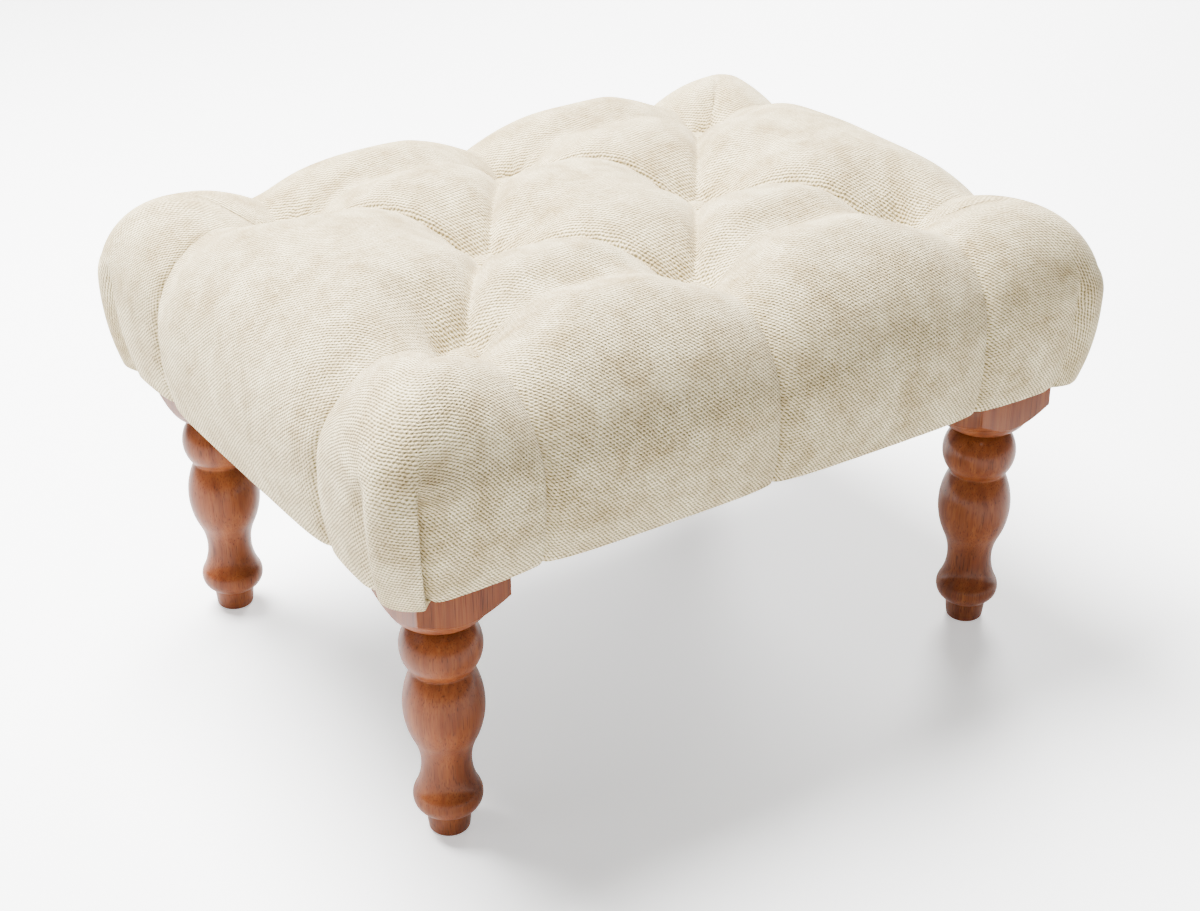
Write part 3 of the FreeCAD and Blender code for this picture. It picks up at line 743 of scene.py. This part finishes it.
def cloth_net(points, faces):
    """The cloth as a net: both ends of each thread, how strongly it pulls, and the area of each point."""
    quads = np.array([face if len(face) == 4 else face + (face[0],) for face in faces])
    corner = points[quads]
    length = np.linalg.norm(corner - np.roll(corner, -1, axis=1), axis=2)
    area = np.linalg.norm(np.cross(corner[:, 2] - corner[:, 0], corner[:, 3] - corner[:, 1]), axis=1) / 2
    first, second, weights = [], [], []
    for k in range(4):
        edge = length[:, k]
        width = (length[:, (k + 1) % 4] + length[:, (k + 3) % 4]) / 2
        good = edge > NEAR / 10
        first.append(quads[good, k])
        second.append(quads[good, (k + 1) % 4])
        weights.append(0.5 * width[good] / edge[good])
    areas = np.bincount(quads.ravel(), np.repeat(area / 4, 4), len(points))
    return *(np.concatenate(part) for part in (first, second, weights)), areas


# the solver stops after so many rounds, or once what is left over is this small
MOST_ROUNDS = 1500
CLOSE_ENOUGH = 1e-16


def stretched(held, values, load, net):
    """Heights of an evenly taut cloth that is fixed at values where held, under a load."""
    first, second, weights, areas = net
    count = len(held)
    solution = np.where(held, values, values[held].mean())

    def pull(x):
        flow = weights * (x[first] - x[second])
        return np.bincount(first, flow, count) - np.bincount(second, flow, count)

    diagonal = np.bincount(first, weights, count) + np.bincount(second, weights, count)
    residual = np.where(held, 0, load * areas - pull(solution))
    scaled = residual / diagonal
    direction = scaled.copy()
    strength = residual @ scaled
    for _ in range(MOST_ROUNDS):
        image = np.where(held, 0, pull(direction))
        step = strength / (direction @ image)
        solution += step * direction
        residual -= step * image
        scaled = residual / diagonal
        fresh = residual @ scaled
        if fresh < CLOSE_ENOUGH * count:
            break
        direction = scaled + fresh / strength * direction
        strength = fresh
    return solution


points, faces, fields = cloth_grid()
points, faces, (flat, outward, length_of, row_of) = weld(points, faces, *fields)
held_depth = held_down(flat)
held = ~np.isnan(held_depth)
faces = split_along_creases(faces, held)
net = cloth_net(points, faces)
held_depth = np.where(held, held_depth, 0)
drawn_in = stretched(held, held_depth, 0.0, net)

# The stuffing lifts the cloth between its creases. It presses less on the wide puffs of the edges, so
# that each puff comes up as far. Outside the buttons the creases are softer, and two creases behind
# the middle are folded over more sharply than the rest.
PUFF_HALF_WIDTH = 0.050
SIDE_HALF_WIDTH = 0.060
CORNER_HALF_WIDTH = 0.100
SIDE_DROP = 0.085
EDGE_BLEND = 0.030
FILL_SHAPE = 0.66
FILL_LIMIT = 4
SOFTER = 0.34
SHARPER = 0.24
SHARP_REACH = 0.030
SHARP_CREASES = (((-gap_x, gap_y), (-gap_x / 2, 0)), ((0, gap_y), (gap_x / 2, 0)))

past_x, past_y = (np.clip((np.abs(flat[:, axis]) - GAPS[axis]) / EDGE_BLEND, 0, 1) for axis in (0, 1))
half_width = PUFF_HALF_WIDTH + (gap_x / 2 - PUFF_HALF_WIDTH) * past_y
half_width += (gap_y - PUFF_HALF_WIDTH) * past_x * (1 - past_y)
half_width += (CORNER_HALF_WIDTH - gap_x / 2) * past_x * past_y
lower = np.clip((cover_high.z - points[:, 2]) / SIDE_DROP, 0, 1)
half_width += (SIDE_HALF_WIDTH - half_width) * lower
bulge = 2 * np.clip(stretched(held, 0 * held_depth, half_width**-2, net), 0, None)
sharp = np.zeros(len(points))
for start, end in SHARP_CREASES:
    start, chord = np.array(start), np.array(end) - np.array(start)
    share = np.clip(((flat - start) @ chord) / (chord @ chord), 0, 1)
    apart = np.linalg.norm(flat - start - share[:, None] * chord, axis=1)
    sharp = np.maximum(sharp, np.clip(1 - apart / SHARP_REACH, 0, 1))
fill = bulge ** (FILL_SHAPE - SHARPER * sharp + SOFTER * np.maximum(past_x, past_y) * (1 - lower))
fill = fill / (1 + fill**FILL_LIMIT) ** (1 / FILL_LIMIT)
depth = drawn_in * (1 - fill)

# The cloth runs down into each pit as a soft funnel, and a valley along each row of three buttons parts
# the puffs of the long edges from the rest.
FUNNEL = 0.078
FUNNEL_SHAPE = 1.35
VALLEY = 0.016
VALLEY_HALF_WIDTH = 0.024
HOLLOW_BLEND = 3


def deeper_of(one, other):
    """The greater of two depths, with a soft change from one to the other."""
    return (one**HOLLOW_BLEND + other**HOLLOW_BLEND) ** (1 / HOLLOW_BLEND)


for x, y in BUTTONS:
    reach = np.hypot(flat[:, 0] - x, flat[:, 1] - y)
    depth = deeper_of(depth, PIT_DEPTH * np.clip(1 - reach / FUNNEL, 0, 1) ** FUNNEL_SHAPE)
beside_row = np.abs(flat[:, 1]) - gap_y
valley = VALLEY * np.exp(-((beside_row / VALLEY_HALF_WIDTH) ** 2)) * (np.abs(flat[:, 0]) < gap_x)
depth = np.minimum(deeper_of(depth, valley), PIT_DEPTH)

# The folded panel of each corner stands proud, most of all at the lip of the slit. The folds begin
# below the top of the roll.
FOLD_TOP = 0.281
FOLD_FADE = 0.014
FADE_SHAPE = 0.7
PANEL_PROUD = 0.0022
PANEL_RISE = 0.008
LIP_SWELL = 0.6
LIP_WIDTH = 0.005
SLIT_DEPTH = 0.0095
SLIT_WIDTH = 0.0035
SLIT_MOUTH = 0.0006
SOFT_FOLD_DEPTH = 0.0034
SOFT_FOLD_WIDTH = 0.006


def turn_in_corner(outward, k):
    """The turn of each way out from the first side of a corner, 0 to a quarter if it is in that corner."""
    return (np.arctan2(outward[:, 1], outward[:, 0]) - math.pi - math.pi / 2 * k + NEAR) % (2 * math.pi)


def fold_depth(points, outward):
    """How far the folded panel of each corner stands proud, less than 0, and its two folds go in."""
    depth = np.zeros(len(points))
    for k in range(4):
        turn = turn_in_corner(outward, k)
        here = (np.linalg.norm(outward, axis=1) > 0.5) & (turn < math.pi / 2)
        soft, slit = corner_folds(k)
        side = 1 if slit > soft else -1
        past_slit = side * (turn[here] - slit) * FOLD_ARM
        past_soft = side * (turn[here] - soft) * FOLD_ARM
        panel = np.clip(past_soft / PANEL_RISE, 0, 1) * (past_slit < 0)
        lip = 1 + LIP_SWELL * np.exp(-np.abs(past_slit) / LIP_WIDTH)
        relief = -PANEL_PROUD * panel * lip
        slit_shape = np.exp(-np.clip(past_slit, 0, None) / SLIT_WIDTH)
        relief += SLIT_DEPTH * slit_shape * (past_slit > -SLIT_MOUTH)
        relief += SOFT_FOLD_DEPTH * np.exp(-((past_soft / SOFT_FOLD_WIDTH) ** 2))
        depth[here] = relief * np.clip((FOLD_TOP - points[here, 2]) / FOLD_FADE, 0, 1) ** FADE_SHAPE
    return depth


# Each pleat is folded in sharply on the lower side, small gathers run out from each button, and hand
# stuffing leaves the top a little uneven.
PLEAT_FOLD = 0.0022
PLEAT_FOLD_RISE = 2.2
PLEAT_FOLD_LATE = 0.6
GATHERS = 11
GATHER_DEPTH = 0.0007
GATHER_PLACE = 0.022
GATHER_WIDTH = 0.009
GATHER_TURN = 1.3
GATHER_WAVES = 3
UNEVENNESS = 0.0011
UNEVEN_OVER = 0.045

depth += fold_depth(points, outward)
for axis, way, place in PLEATS:
    beside = flat[:, 1 - axis] - place
    past_roll = (flat[:, axis] * way - EDGES[axis]) / SIDE_LENGTH
    lower_side = np.clip(PLEAT_FOLD_RISE * past_roll - PLEAT_FOLD_LATE, 0, 1)
    depth += PLEAT_FOLD * lower_side * np.exp(-((beside / PLEAT_COLUMN) ** 2))
for number, (x, y) in enumerate(BUTTONS):
    reach = np.hypot(flat[:, 0] - x, flat[:, 1] - y)
    turn = np.arctan2(flat[:, 1] - y, flat[:, 0] - x)
    near_button = np.exp(-(((reach - GATHER_PLACE) / GATHER_WIDTH) ** 2))
    # the sine makes the gathers uneven, and the button's number turns them
    uneven = np.sin(GATHER_WAVES * turn + number)
    depth += GATHER_DEPTH * near_button * np.cos(GATHERS * turn + GATHER_TURN * number + uneven)
lumps = np.array([noise.noise(Vector(point) / UNEVEN_OVER) for point in points.tolist()])
depth += UNEVENNESS * lumps * fill * (row_of < ROLL_ROWS)


def ways_out(points, faces):
    """The way straight out of the cloth at each point."""
    shell = bpy.data.meshes.new("untufted")
    shell.from_pydata(points.tolist(), [], faces)
    shell.update()
    normals = np.empty(len(points) * 3)
    shell.vertex_normals.foreach_get("vector", normals)
    bpy.data.meshes.remove(shell)
    return normals.reshape(-1, 3)


# under the frame the depth goes inwards, so that the margin stays flat
under = np.array([row >= 0 and EDGE_PROFILE[row][3] for row in row_of])
normals = ways_out(points, faces)
normals[under] = np.concatenate([outward, np.zeros((len(points), 1))], axis=1)[under]
tufted = points - normals * depth[:, None]

STUFFING_PRESSURE = 4
SETTLING_FRAMES = 12
SETTLING_CAP = 0.005
CLOTH_STIFFNESS = 20


def settle(points, faces, held, most):
    """The cloth after its stuffing has pressed on it for a while; no point may go further than most."""
    mesh = bpy.data.meshes.new("settling")
    mesh.from_pydata(points.tolist(), [], faces)
    pad = bpy.data.objects.new("settling", mesh)
    bpy.context.scene.collection.objects.link(pad)
    pad.vertex_groups.new(name="held").add([int(k) for k in np.nonzero(held)[0]], 1.0, "REPLACE")
    cloth = pad.modifiers.new("cloth", "CLOTH")
    cloth.settings.vertex_group_mass = "held"
    cloth.settings.use_pressure = True
    cloth.settings.uniform_pressure_force = STUFFING_PRESSURE
    cloth.settings.effector_weights.gravity = 0
    cloth.settings.quality = 3
    cloth.settings.tension_stiffness = CLOTH_STIFFNESS
    cloth.settings.compression_stiffness = CLOTH_STIFFNESS
    cloth.settings.bending_stiffness = 1
    cloth.point_cache.frame_end = SETTLING_FRAMES
    for moment in range(1, SETTLING_FRAMES + 1):
        bpy.context.scene.frame_set(moment)
    settled = pad.evaluated_get(bpy.context.evaluated_depsgraph_get()).data
    result = np.empty(len(points) * 3)
    settled.vertices.foreach_get("co", result)
    bpy.context.scene.frame_set(1)
    bpy.data.objects.remove(pad)
    bpy.data.meshes.remove(mesh)
    moved = result.reshape(-1, 3) - points
    distance = np.linalg.norm(moved, axis=1, keepdims=True)
    return points + moved * np.minimum(1, most / np.maximum(distance, 1e-9))


pinned = held | under | (row_of == len(EDGE_PROFILE) - 1)
tufted = settle(tufted, faces, pinned, SETTLING_CAP)

# Chenille twill: thick soft cream yarn in slanting ribs, broken along each rib into short floats, fuzzy,
# in cloudy patches of lighter and darker cream, with painted shade in the gaps between ribs and floats.
# It has a pale sheen and no gloss.
# The ribs of the real cloth are about 2 mm apart and show as they are. Its fuzz is finer than this and
# is drawn as coarse as it needs to show.
RIB = 0.0020
FLOAT = 0.0027
FUZZ = 0.0010
PATCH = 0.030
RIB_TURN = math.radians(41)
RIB_ACROSS = (math.cos(RIB_TURN), math.sin(RIB_TURN))
RIB_ALONG = (-math.sin(RIB_TURN), math.cos(RIB_TURN))
# the ribs wander aside over about 9 mm
WANDER_SCALE = 110.0
WANDER = 5.0
RIB_WEIGHT = 0.17
FLOAT_WEIGHT = 0.1
FUZZ_WEIGHT = 0.62
YARN_LEVEL = 0.27
YARN_RELIEF = 0.0011
chenille, tree, shader = new_material(
    "cream_chenille_twill",
    Roughness=0.95,
    IOR=1.45,
    Sheen_Weight=0.3,
    Sheen_Roughness=0.35,
    Sheen_Tint=linear("#fff3d6"),
)
cloth_place = add_node(tree, "ShaderNodeUVMap", uv_map="cloth").outputs["UV"]
wander = add_node(
    tree,
    "ShaderNodeTexNoise",
    {"Vector": cloth_place, "Scale": WANDER_SCALE, "Detail": 2.0},
    noise_dimensions="2D",
)
across, along = (
    add_node(
        tree,
        "ShaderNodeVectorMath",
        {0: cloth_place, 1: [2 * math.pi / spacing * part for part in (*direction, 0)]},
        operation="DOT_PRODUCT",
    ).outputs["Value"]
    for direction, spacing in ((RIB_ACROSS, RIB), (RIB_ALONG, FLOAT))
)
shifted = add_node(
    tree, "ShaderNodeMath", {0: wander.outputs["Fac"], 1: WANDER, 2: across}, operation="MULTIPLY_ADD"
).outputs["Value"]
# the floats of each rib lie half a float further along than those of the rib beside it
crossed = add_node(tree, "ShaderNodeMath", {0: shifted, 1: 0.5, 2: along}, operation="MULTIPLY_ADD")
rib = add_node(tree, "ShaderNodeMath", {0: shifted}, operation="SINE")
float_wave = add_node(tree, "ShaderNodeMath", {0: crossed.outputs["Value"]}, operation="SINE")
fuzz = add_node(
    tree,
    "ShaderNodeTexNoise",
    {"Vector": cloth_place, "Scale": 1 / FUZZ, "Detail": 3.0},
    noise_dimensions="2D",
)
yarn = YARN_LEVEL
for wave, weight in ((rib, RIB_WEIGHT), (float_wave, FLOAT_WEIGHT), (fuzz, FUZZ_WEIGHT)):
    added = add_node(
        tree, "ShaderNodeMath", {0: wave.outputs[0], 1: weight, 2: yarn}, operation="MULTIPLY_ADD"
    )
    yarn = added.outputs["Value"]
patches = add_node(
    tree,
    "ShaderNodeTexNoise",
    {"Vector": cloth_place, "Scale": 1 / PATCH, "Detail": 8.0, "Roughness": 0.8},
    noise_dimensions="2D",
)
patch_share = add_node(
    tree, "ShaderNodeMapRange", {"Value": patches.outputs["Fac"], "From Min": 0.34, "From Max": 0.67}
)
# the gaps between the yarn get a darker colour: painted shade where the weave is hollow
gap_shade_colour, pile_colour = (
    add_node(
        tree,
        "ShaderNodeMix",
        {"Factor": patch_share.outputs["Result"], "A": linear(light), "B": linear(dark)},
        data_type="RGBA",
    ).outputs["Result"]
    for light, dark in (("#7d7148", "#574b2d"), ("#efdfb7", "#bda678"))
)
# where the yarn is low, the colour turns to the painted shade of the gaps
yarn_share = add_node(tree, "ShaderNodeMapRange", {"Value": yarn, "From Min": 0.40, "From Max": 0.70})
cloth_colour = add_node(
    tree,
    "ShaderNodeMix",
    {"Factor": yarn_share.outputs["Result"], "A": gap_shade_colour, "B": pile_colour},
    data_type="RGBA",
)
tree.links.new(cloth_colour.outputs["Result"], shader.inputs["Base Color"])
weave_bump = add_node(tree, "ShaderNodeBump", {"Height": yarn, "Strength": 0.9, "Distance": YARN_RELIEF})
tree.links.new(weave_bump.outputs["Normal"], shader.inputs["Normal"])

# over this height the weave turns from that of the top to that of the folded sides
LAY_BLEND = 0.035


def lay_weave(piece):
    """Lays the weave on the cushion as on the flat cloth. Beside the folds of a corner it runs as on
    the side that it belongs to, and the panel between them keeps the slant of the corner."""
    mesh = piece.data
    loops = np.empty(len(mesh.loops), dtype=np.int64)
    mesh.loops.foreach_get("vertex_index", loops)
    face_of = np.repeat(np.arange(len(mesh.polygons)), [len(face.vertices) for face in mesh.polygons])
    fanned = (np.abs(outward) > NEAR).all(axis=1)
    in_fan = np.zeros(len(mesh.polygons), dtype=bool)
    np.logical_or.at(in_fan, face_of, fanned[loops])
    facing = np.zeros((len(in_fan), 2))
    np.add.at(facing, face_of, outward[loops])
    uv = flat[loops].copy()
    for k in range(4):
        turn = turn_in_corner(facing, k)
        low, high = sorted(corner_folds(k))
        for axis, on_this_side in ((k % 2, turn < low), (1 - k % 2, (turn >= high) & (turn < math.pi / 2))):
            here = (in_fan & on_this_side)[face_of]
            corners = loops[here]
            aside = np.empty((len(corners), 2))
            aside[:, axis] = CORNERS[k][axis] * (EDGES[axis] + length_of[corners])
            aside[:, 1 - axis] = points[corners, 1 - axis]
            share = np.clip((FOLD_TOP + LAY_BLEND / 2 - points[corners, 2]) / LAY_BLEND, 0, 1)[:, None]
            uv[here] = uv[here] * (1 - share) + aside * share
    mesh.uv_layers.new(name="cloth").data.foreach_set("uv", uv.ravel())


cushion = new_piece("cushion_cover", tufted, faces, chenille, smooth_below=180)
lay_weave(cushion)
smoother = cushion.modifiers.new("smooth", "SUBSURF")
smoother.levels = 1
smoother.render_levels = 1
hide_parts("tufted_cover")

# Covered buttons: a domed steel shell with the cushion's cloth drawn over it and clenched behind. One
# is pulled down into each pit by its twine.
BUTTON_SIDES = 40
BUTTON_RINGS = (0, 0.08, 0.2, 0.4, 0.6, 0.8, 0.94, 1)
DOME_SHAPE = 0.7
SMALLEST_RING = 0.02
button_tall = buttons_high.z - buttons_low.z


def covered_button(x, y):
    """Points and faces of the domed button at x, y."""
    loops = []
    for share in BUTTON_RINGS:
        turn = share * math.pi / 2
        radius = BUTTON_RADIUS * max(math.cos(turn) ** DOME_SHAPE, SMALLEST_RING)
        height = buttons_low.z + button_tall * math.sin(turn)
        loops.append(level_loop(around(BUTTON_SIDES), radius, height, x, y))
    return rings(loops)


def together(parts):
    """Points and faces of several parts as one mesh."""
    points, faces = [], []
    for some_points, some_faces in parts:
        faces += [tuple(k + len(points) for k in face) for face in some_faces]
        points += some_points.tolist()
    return points, faces


button_points, button_faces = together([covered_button(x, y) for x, y in BUTTONS])
buttons = new_piece(
    "cloth_buttons", button_points, button_faces, chenille, smooth_below=180
)
layer = buttons.data.uv_layers.new(name="cloth")
for loop in buttons.data.loops:
    layer.data[loop.index].uv = buttons.data.vertices[loop.vertex_index].co.xy
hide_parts("cover_buttons")

# Button twine: two plies of flax, twisted and waxed. Each piece is tied to a button and runs straight
# down through the stuffing and the foam and out under the board.
TWINE_TWIST = 0.004
TWINE_SIDES = 12
TWINE_STEP = 0.0006
PLY_GROOVE = 0.38
twine_low, twine_high = (Vector(corner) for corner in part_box("button_twines"))
twine_radius = twine_high.x - gap_x


def twisted_twine(x, y):
    """Points and faces of the twine at x, y."""
    turns = around(TWINE_SIDES)
    loops = []
    for z in steps(twine_low.z, twine_high.z, TWINE_STEP):
        lay = 2 * math.pi * z / TWINE_TWIST
        radius = twine_radius * (1 - PLY_GROOVE + PLY_GROOVE * np.abs(np.cos(turns - lay)))
        loops.append(level_loop(turns, radius, z, x, y))
    return rings(loops)


# Waxed flax: light brown, mottled by darker fibres, with a dull waxy gloss. Real fibres are far finer
# and are drawn as coarse as they need to show.
FLAX_FIBRE = 0.0006
flax = one_pattern(
    "waxed_flax_twine",
    "ShaderNodeTexNoise",
    {"Scale": 1 / FLAX_FIBRE, "Detail": 2.0},
    ("#a89468", "#d8c9a2"),
    Roughness=0.6,
    IOR=1.45,
)
twine_points, twine_faces = together([twisted_twine(x, y) for x, y in BUTTONS])
twines = new_piece("flax_twines", twine_points, twine_faces, flax, smooth_below=180)
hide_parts("button_twines")

# Dust cover: black spun-bonded cloth, cut round the leg blocks, its edges folded in and stapled to the
# underside of the frame over the turned-under edge of the cushion cover. It sags a little in the middle.

# Spun polypropylene: black and dull, pressed all over with small dimples. The real ones are under a
# millimetre apart and are drawn about twice as coarse.
SPUN_SPOT = 0.0016
spun = one_pattern(
    "black_spun_polypropylene",
    "ShaderNodeTexVoronoi",
    {"Scale": 1 / SPUN_SPOT},
    ("#0f0f10", "#2a2a2c"),
    relief=(0.5, 0.0003),
    Roughness=0.85,
    IOR=1.45,
    Sheen_Weight=0.1,
)
SPUN_STEP = 0.006
SPUN_THICKNESS = 0.0006
SPUN_HEM = 0.012
SPUN_SAG = 0.004
BLOCK_GAP = 0.001
PUCKER = 0.0009
PUCKER_GAP = 0.034
PUCKER_REACH = 0.030
spun_x, spun_y, spun_top = Vector(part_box("dust_cover")[1])
notch_x = leg_x - LEG_BLOCK / 2 - BLOCK_GAP
notch_y = leg_y - LEG_BLOCK / 2 - BLOCK_GAP


def spun_lines(notch, edge):
    """Lines over half the cloth and back: even ones to the notch, then closer ones over the hem."""
    half = steps(0, notch - SPUN_HEM, SPUN_STEP) + steps(notch - SPUN_HEM, notch, SPUN_STEP / 2)[1:]
    half += steps(notch, edge - SPUN_HEM, SPUN_STEP)[1:] + steps(edge - SPUN_HEM, edge, SPUN_STEP / 2)[1:]
    return [-line for line in half[:0:-1]] + half


def spun_height(x, y, edge_gap):
    """The height of the cloth: lower where it sags, puckers between staples or is doubled by its hem."""
    sag = SPUN_SAG * (1 - (x / spun_x) ** 2) * (1 - (y / spun_y) ** 2)
    run = x if abs(y) / spun_y > abs(x) / spun_x else y
    pucker = PUCKER * (1 - math.cos(2 * math.pi * run / PUCKER_GAP)) / 2 * math.exp(-edge_gap / PUCKER_REACH)
    hem = SPUN_THICKNESS if edge_gap < SPUN_HEM - NEAR else 0
    return spun_top - SPUN_THICKNESS - sag - pucker - hem


spun_xs, spun_ys = spun_lines(notch_x, spun_x), spun_lines(notch_y, spun_y)
spun_points, spun_faces, spun_index = [], [], {}
for i, x in enumerate(spun_xs):
    for j, y in enumerate(spun_ys):
        over_x, over_y = abs(x) - notch_x, abs(y) - notch_y
        if over_x > NEAR and over_y > NEAR:
            continue
        edge_gap = min(spun_x - abs(x), spun_y - abs(y), math.hypot(min(over_x, 0), min(over_y, 0)))
        spun_index[i, j] = len(spun_points)
        spun_points.append((x, y, spun_height(x, y, edge_gap)))
for i, j in spun_index:
    corners = [(i, j), (i, j + 1), (i + 1, j + 1), (i + 1, j)]
    if all(corner in spun_index for corner in corners):
        spun_faces.append([spun_index[corner] for corner in corners])
dust_cover = new_piece(
    "dust_cover_cloth", spun_points, spun_faces, spun, smooth_below=60
)
thicker = dust_cover.modifiers.new("thickness", "SOLIDIFY")
thicker.thickness = SPUN_THICKNESS
thicker.offset = -1
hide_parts("dust_cover")

# Staples of the dust cover: zinc-plated wire, driven in along its edge by hand, three to every 100 mm,
# so that they lean a little one way or the other.
STAPLE_CROWN = 0.0095
STAPLE_WIRE = 0.0006
STAPLE_SIDES = 8
STAPLE_GAP = 0.1 / 3
STAPLE_INSET = 0.006
# how near the first and the last staple of a side may come to its notches
STAPLE_START = 0.012
STAPLE_STOP = 0.011
STAPLE_STANDS_OFF = 0.0006
STAPLE_LEAN = 0.12
STAPLE_LEG = 0.0022
CROWN_BEND = 0.0006
# places along the crown from its middle, and how far each is up from it
STAPLE_PATH = [(-0.5, STAPLE_LEG), (-0.5, CROWN_BEND), (-0.46, 0)]
STAPLE_PATH += [(0.46, 0), (0.5, CROWN_BEND), (0.5, STAPLE_LEG)]
staple_level = spun_top - 2 * SPUN_THICKNESS - STAPLE_WIRE - STAPLE_STANDS_OFF


def staple(x, y, turn):
    """Points and faces of the staple at x, y: a straight crown with a short leg at each end."""
    turns = around(STAPLE_SIDES)
    thick, side = STAPLE_WIRE / 2 * np.cos(turns), STAPLE_WIRE / 2 * np.sin(turns)
    loops = []
    for share, rise in STAPLE_PATH:
        out = share * STAPLE_CROWN + (thick if rise else 0 * thick)
        z = staple_level + rise + (0 * thick if rise else thick)
        aside = x + out * math.cos(turn) - side * math.sin(turn)
        loops.append(np.stack([aside, y + out * math.sin(turn) + side * math.cos(turn), z], axis=1))
    return rings(loops)


staple_places = []
for side in (-1, 1):
    for run in np.arange(STAPLE_START - notch_x, notch_x - STAPLE_STOP, STAPLE_GAP):
        staple_places.append((run, side * (spun_y - STAPLE_INSET), 0))
    for run in np.arange(STAPLE_START - notch_y, notch_y - STAPLE_STOP, STAPLE_GAP):
        staple_places.append((side * (spun_x - STAPLE_INSET), run, math.pi / 2))
staple_points, staple_faces = together(
    [
        staple(x, y, turn + STAPLE_LEAN * math.sin(2.4 * number))
        for number, (x, y, turn) in enumerate(staple_places)
    ]
)
staples = new_piece(
    "dust_cover_staples", staple_points, staple_faces, zinc, smooth_below=50
)

# Studio: a pale table top that runs past the edges of the picture, soft disks of light above, at the
# left and at the right rear, a small one in front for the highlights on the turnings, and a camera that
# looks down on the near left corner.

# Pale acrylic, lit faintly from below: white and softly matt, with only a pale shade under the stool.
pale, tree, shader = new_material(
    "pale_acrylic",
    Roughness=0.55,
    Base_Color=linear("#f2f2f2"),
    Emission_Color=linear("#ffffff"),
    Emission_Strength=0.6,
)
FLOOR_REACH = 4.0
floor_mesh = bpy.data.meshes.new("floor")
floor_mesh.from_pydata([(x * FLOOR_REACH, y * FLOOR_REACH, 0) for x, y in CORNERS], [], [(0, 1, 2, 3)])
floor_mesh.materials.append(pale)
floor = bpy.data.objects.new("floor", floor_mesh)
bpy.context.scene.collection.objects.link(floor)

ROOM_LIGHT = 0.30
world = bpy.data.worlds.new("studio")
bpy.context.scene.world = world
world.use_nodes = True
world.node_tree.nodes["Background"].inputs["Color"].default_value = linear("#ffffff")
world.node_tree.nodes["Background"].inputs["Strength"].default_value = ROOM_LIGHT


def soft_light(name, place, aim, size, power):
    """A round soft light of this size in metres and power in watts, turned to where it aims."""
    light = bpy.data.lights.new(name, "AREA")
    light.shape = "DISK"
    light.size = size
    light.energy = power
    lamp = bpy.data.objects.new(name, light)
    lamp.location = place
    lamp.rotation_euler = (Vector(aim) - Vector(place)).to_track_quat("-Z", "Y").to_euler()
    bpy.context.scene.collection.objects.link(lamp)


soft_light("overhead", (-0.35, 0.85, 2.1), (0, 0.1, 0.2), 1.6, 475)
soft_light("left_fill", (-2.4, 0.4, 1.3), (0, 0, 0.2), 1.5, 12)
soft_light("front_spark", (-0.75, -1.5, 1.75), (0, 0, 0.1), 0.14, 3.0)
soft_light("right_rear", (2.0, 1.8, 1.3), (0.9, 0.5, 0), 1.4, 150)

# the camera's place and angles come from a fit to the feet, the rings of the legs and the hem
PHOTO_WIDTH = 1200
FOCAL_PIXELS = 2033.4
CAMERA_PLACE = (-0.7099, -1.0691, 0.8213)
CAMERA_YAW = math.radians(33.70)
CAMERA_PITCH = math.radians(28.37)
CAMERA_ROLL = math.radians(-0.32)
camera_data = bpy.data.cameras.new("camera")
camera_data.sensor_width = 36
camera_data.lens = FOCAL_PIXELS / PHOTO_WIDTH * camera_data.sensor_width
camera = bpy.data.objects.new("camera", camera_data)
camera.location = CAMERA_PLACE
aimed = Matrix.Rotation(-CAMERA_YAW, 3, "Z") @ Matrix.Rotation(math.pi / 2 - CAMERA_PITCH, 3, "X")
camera.rotation_euler = (aimed @ Matrix.Rotation(CAMERA_ROLL, 3, "Z")).to_euler()
bpy.context.scene.collection.objects.link(camera)
bpy.context.scene.camera = camera
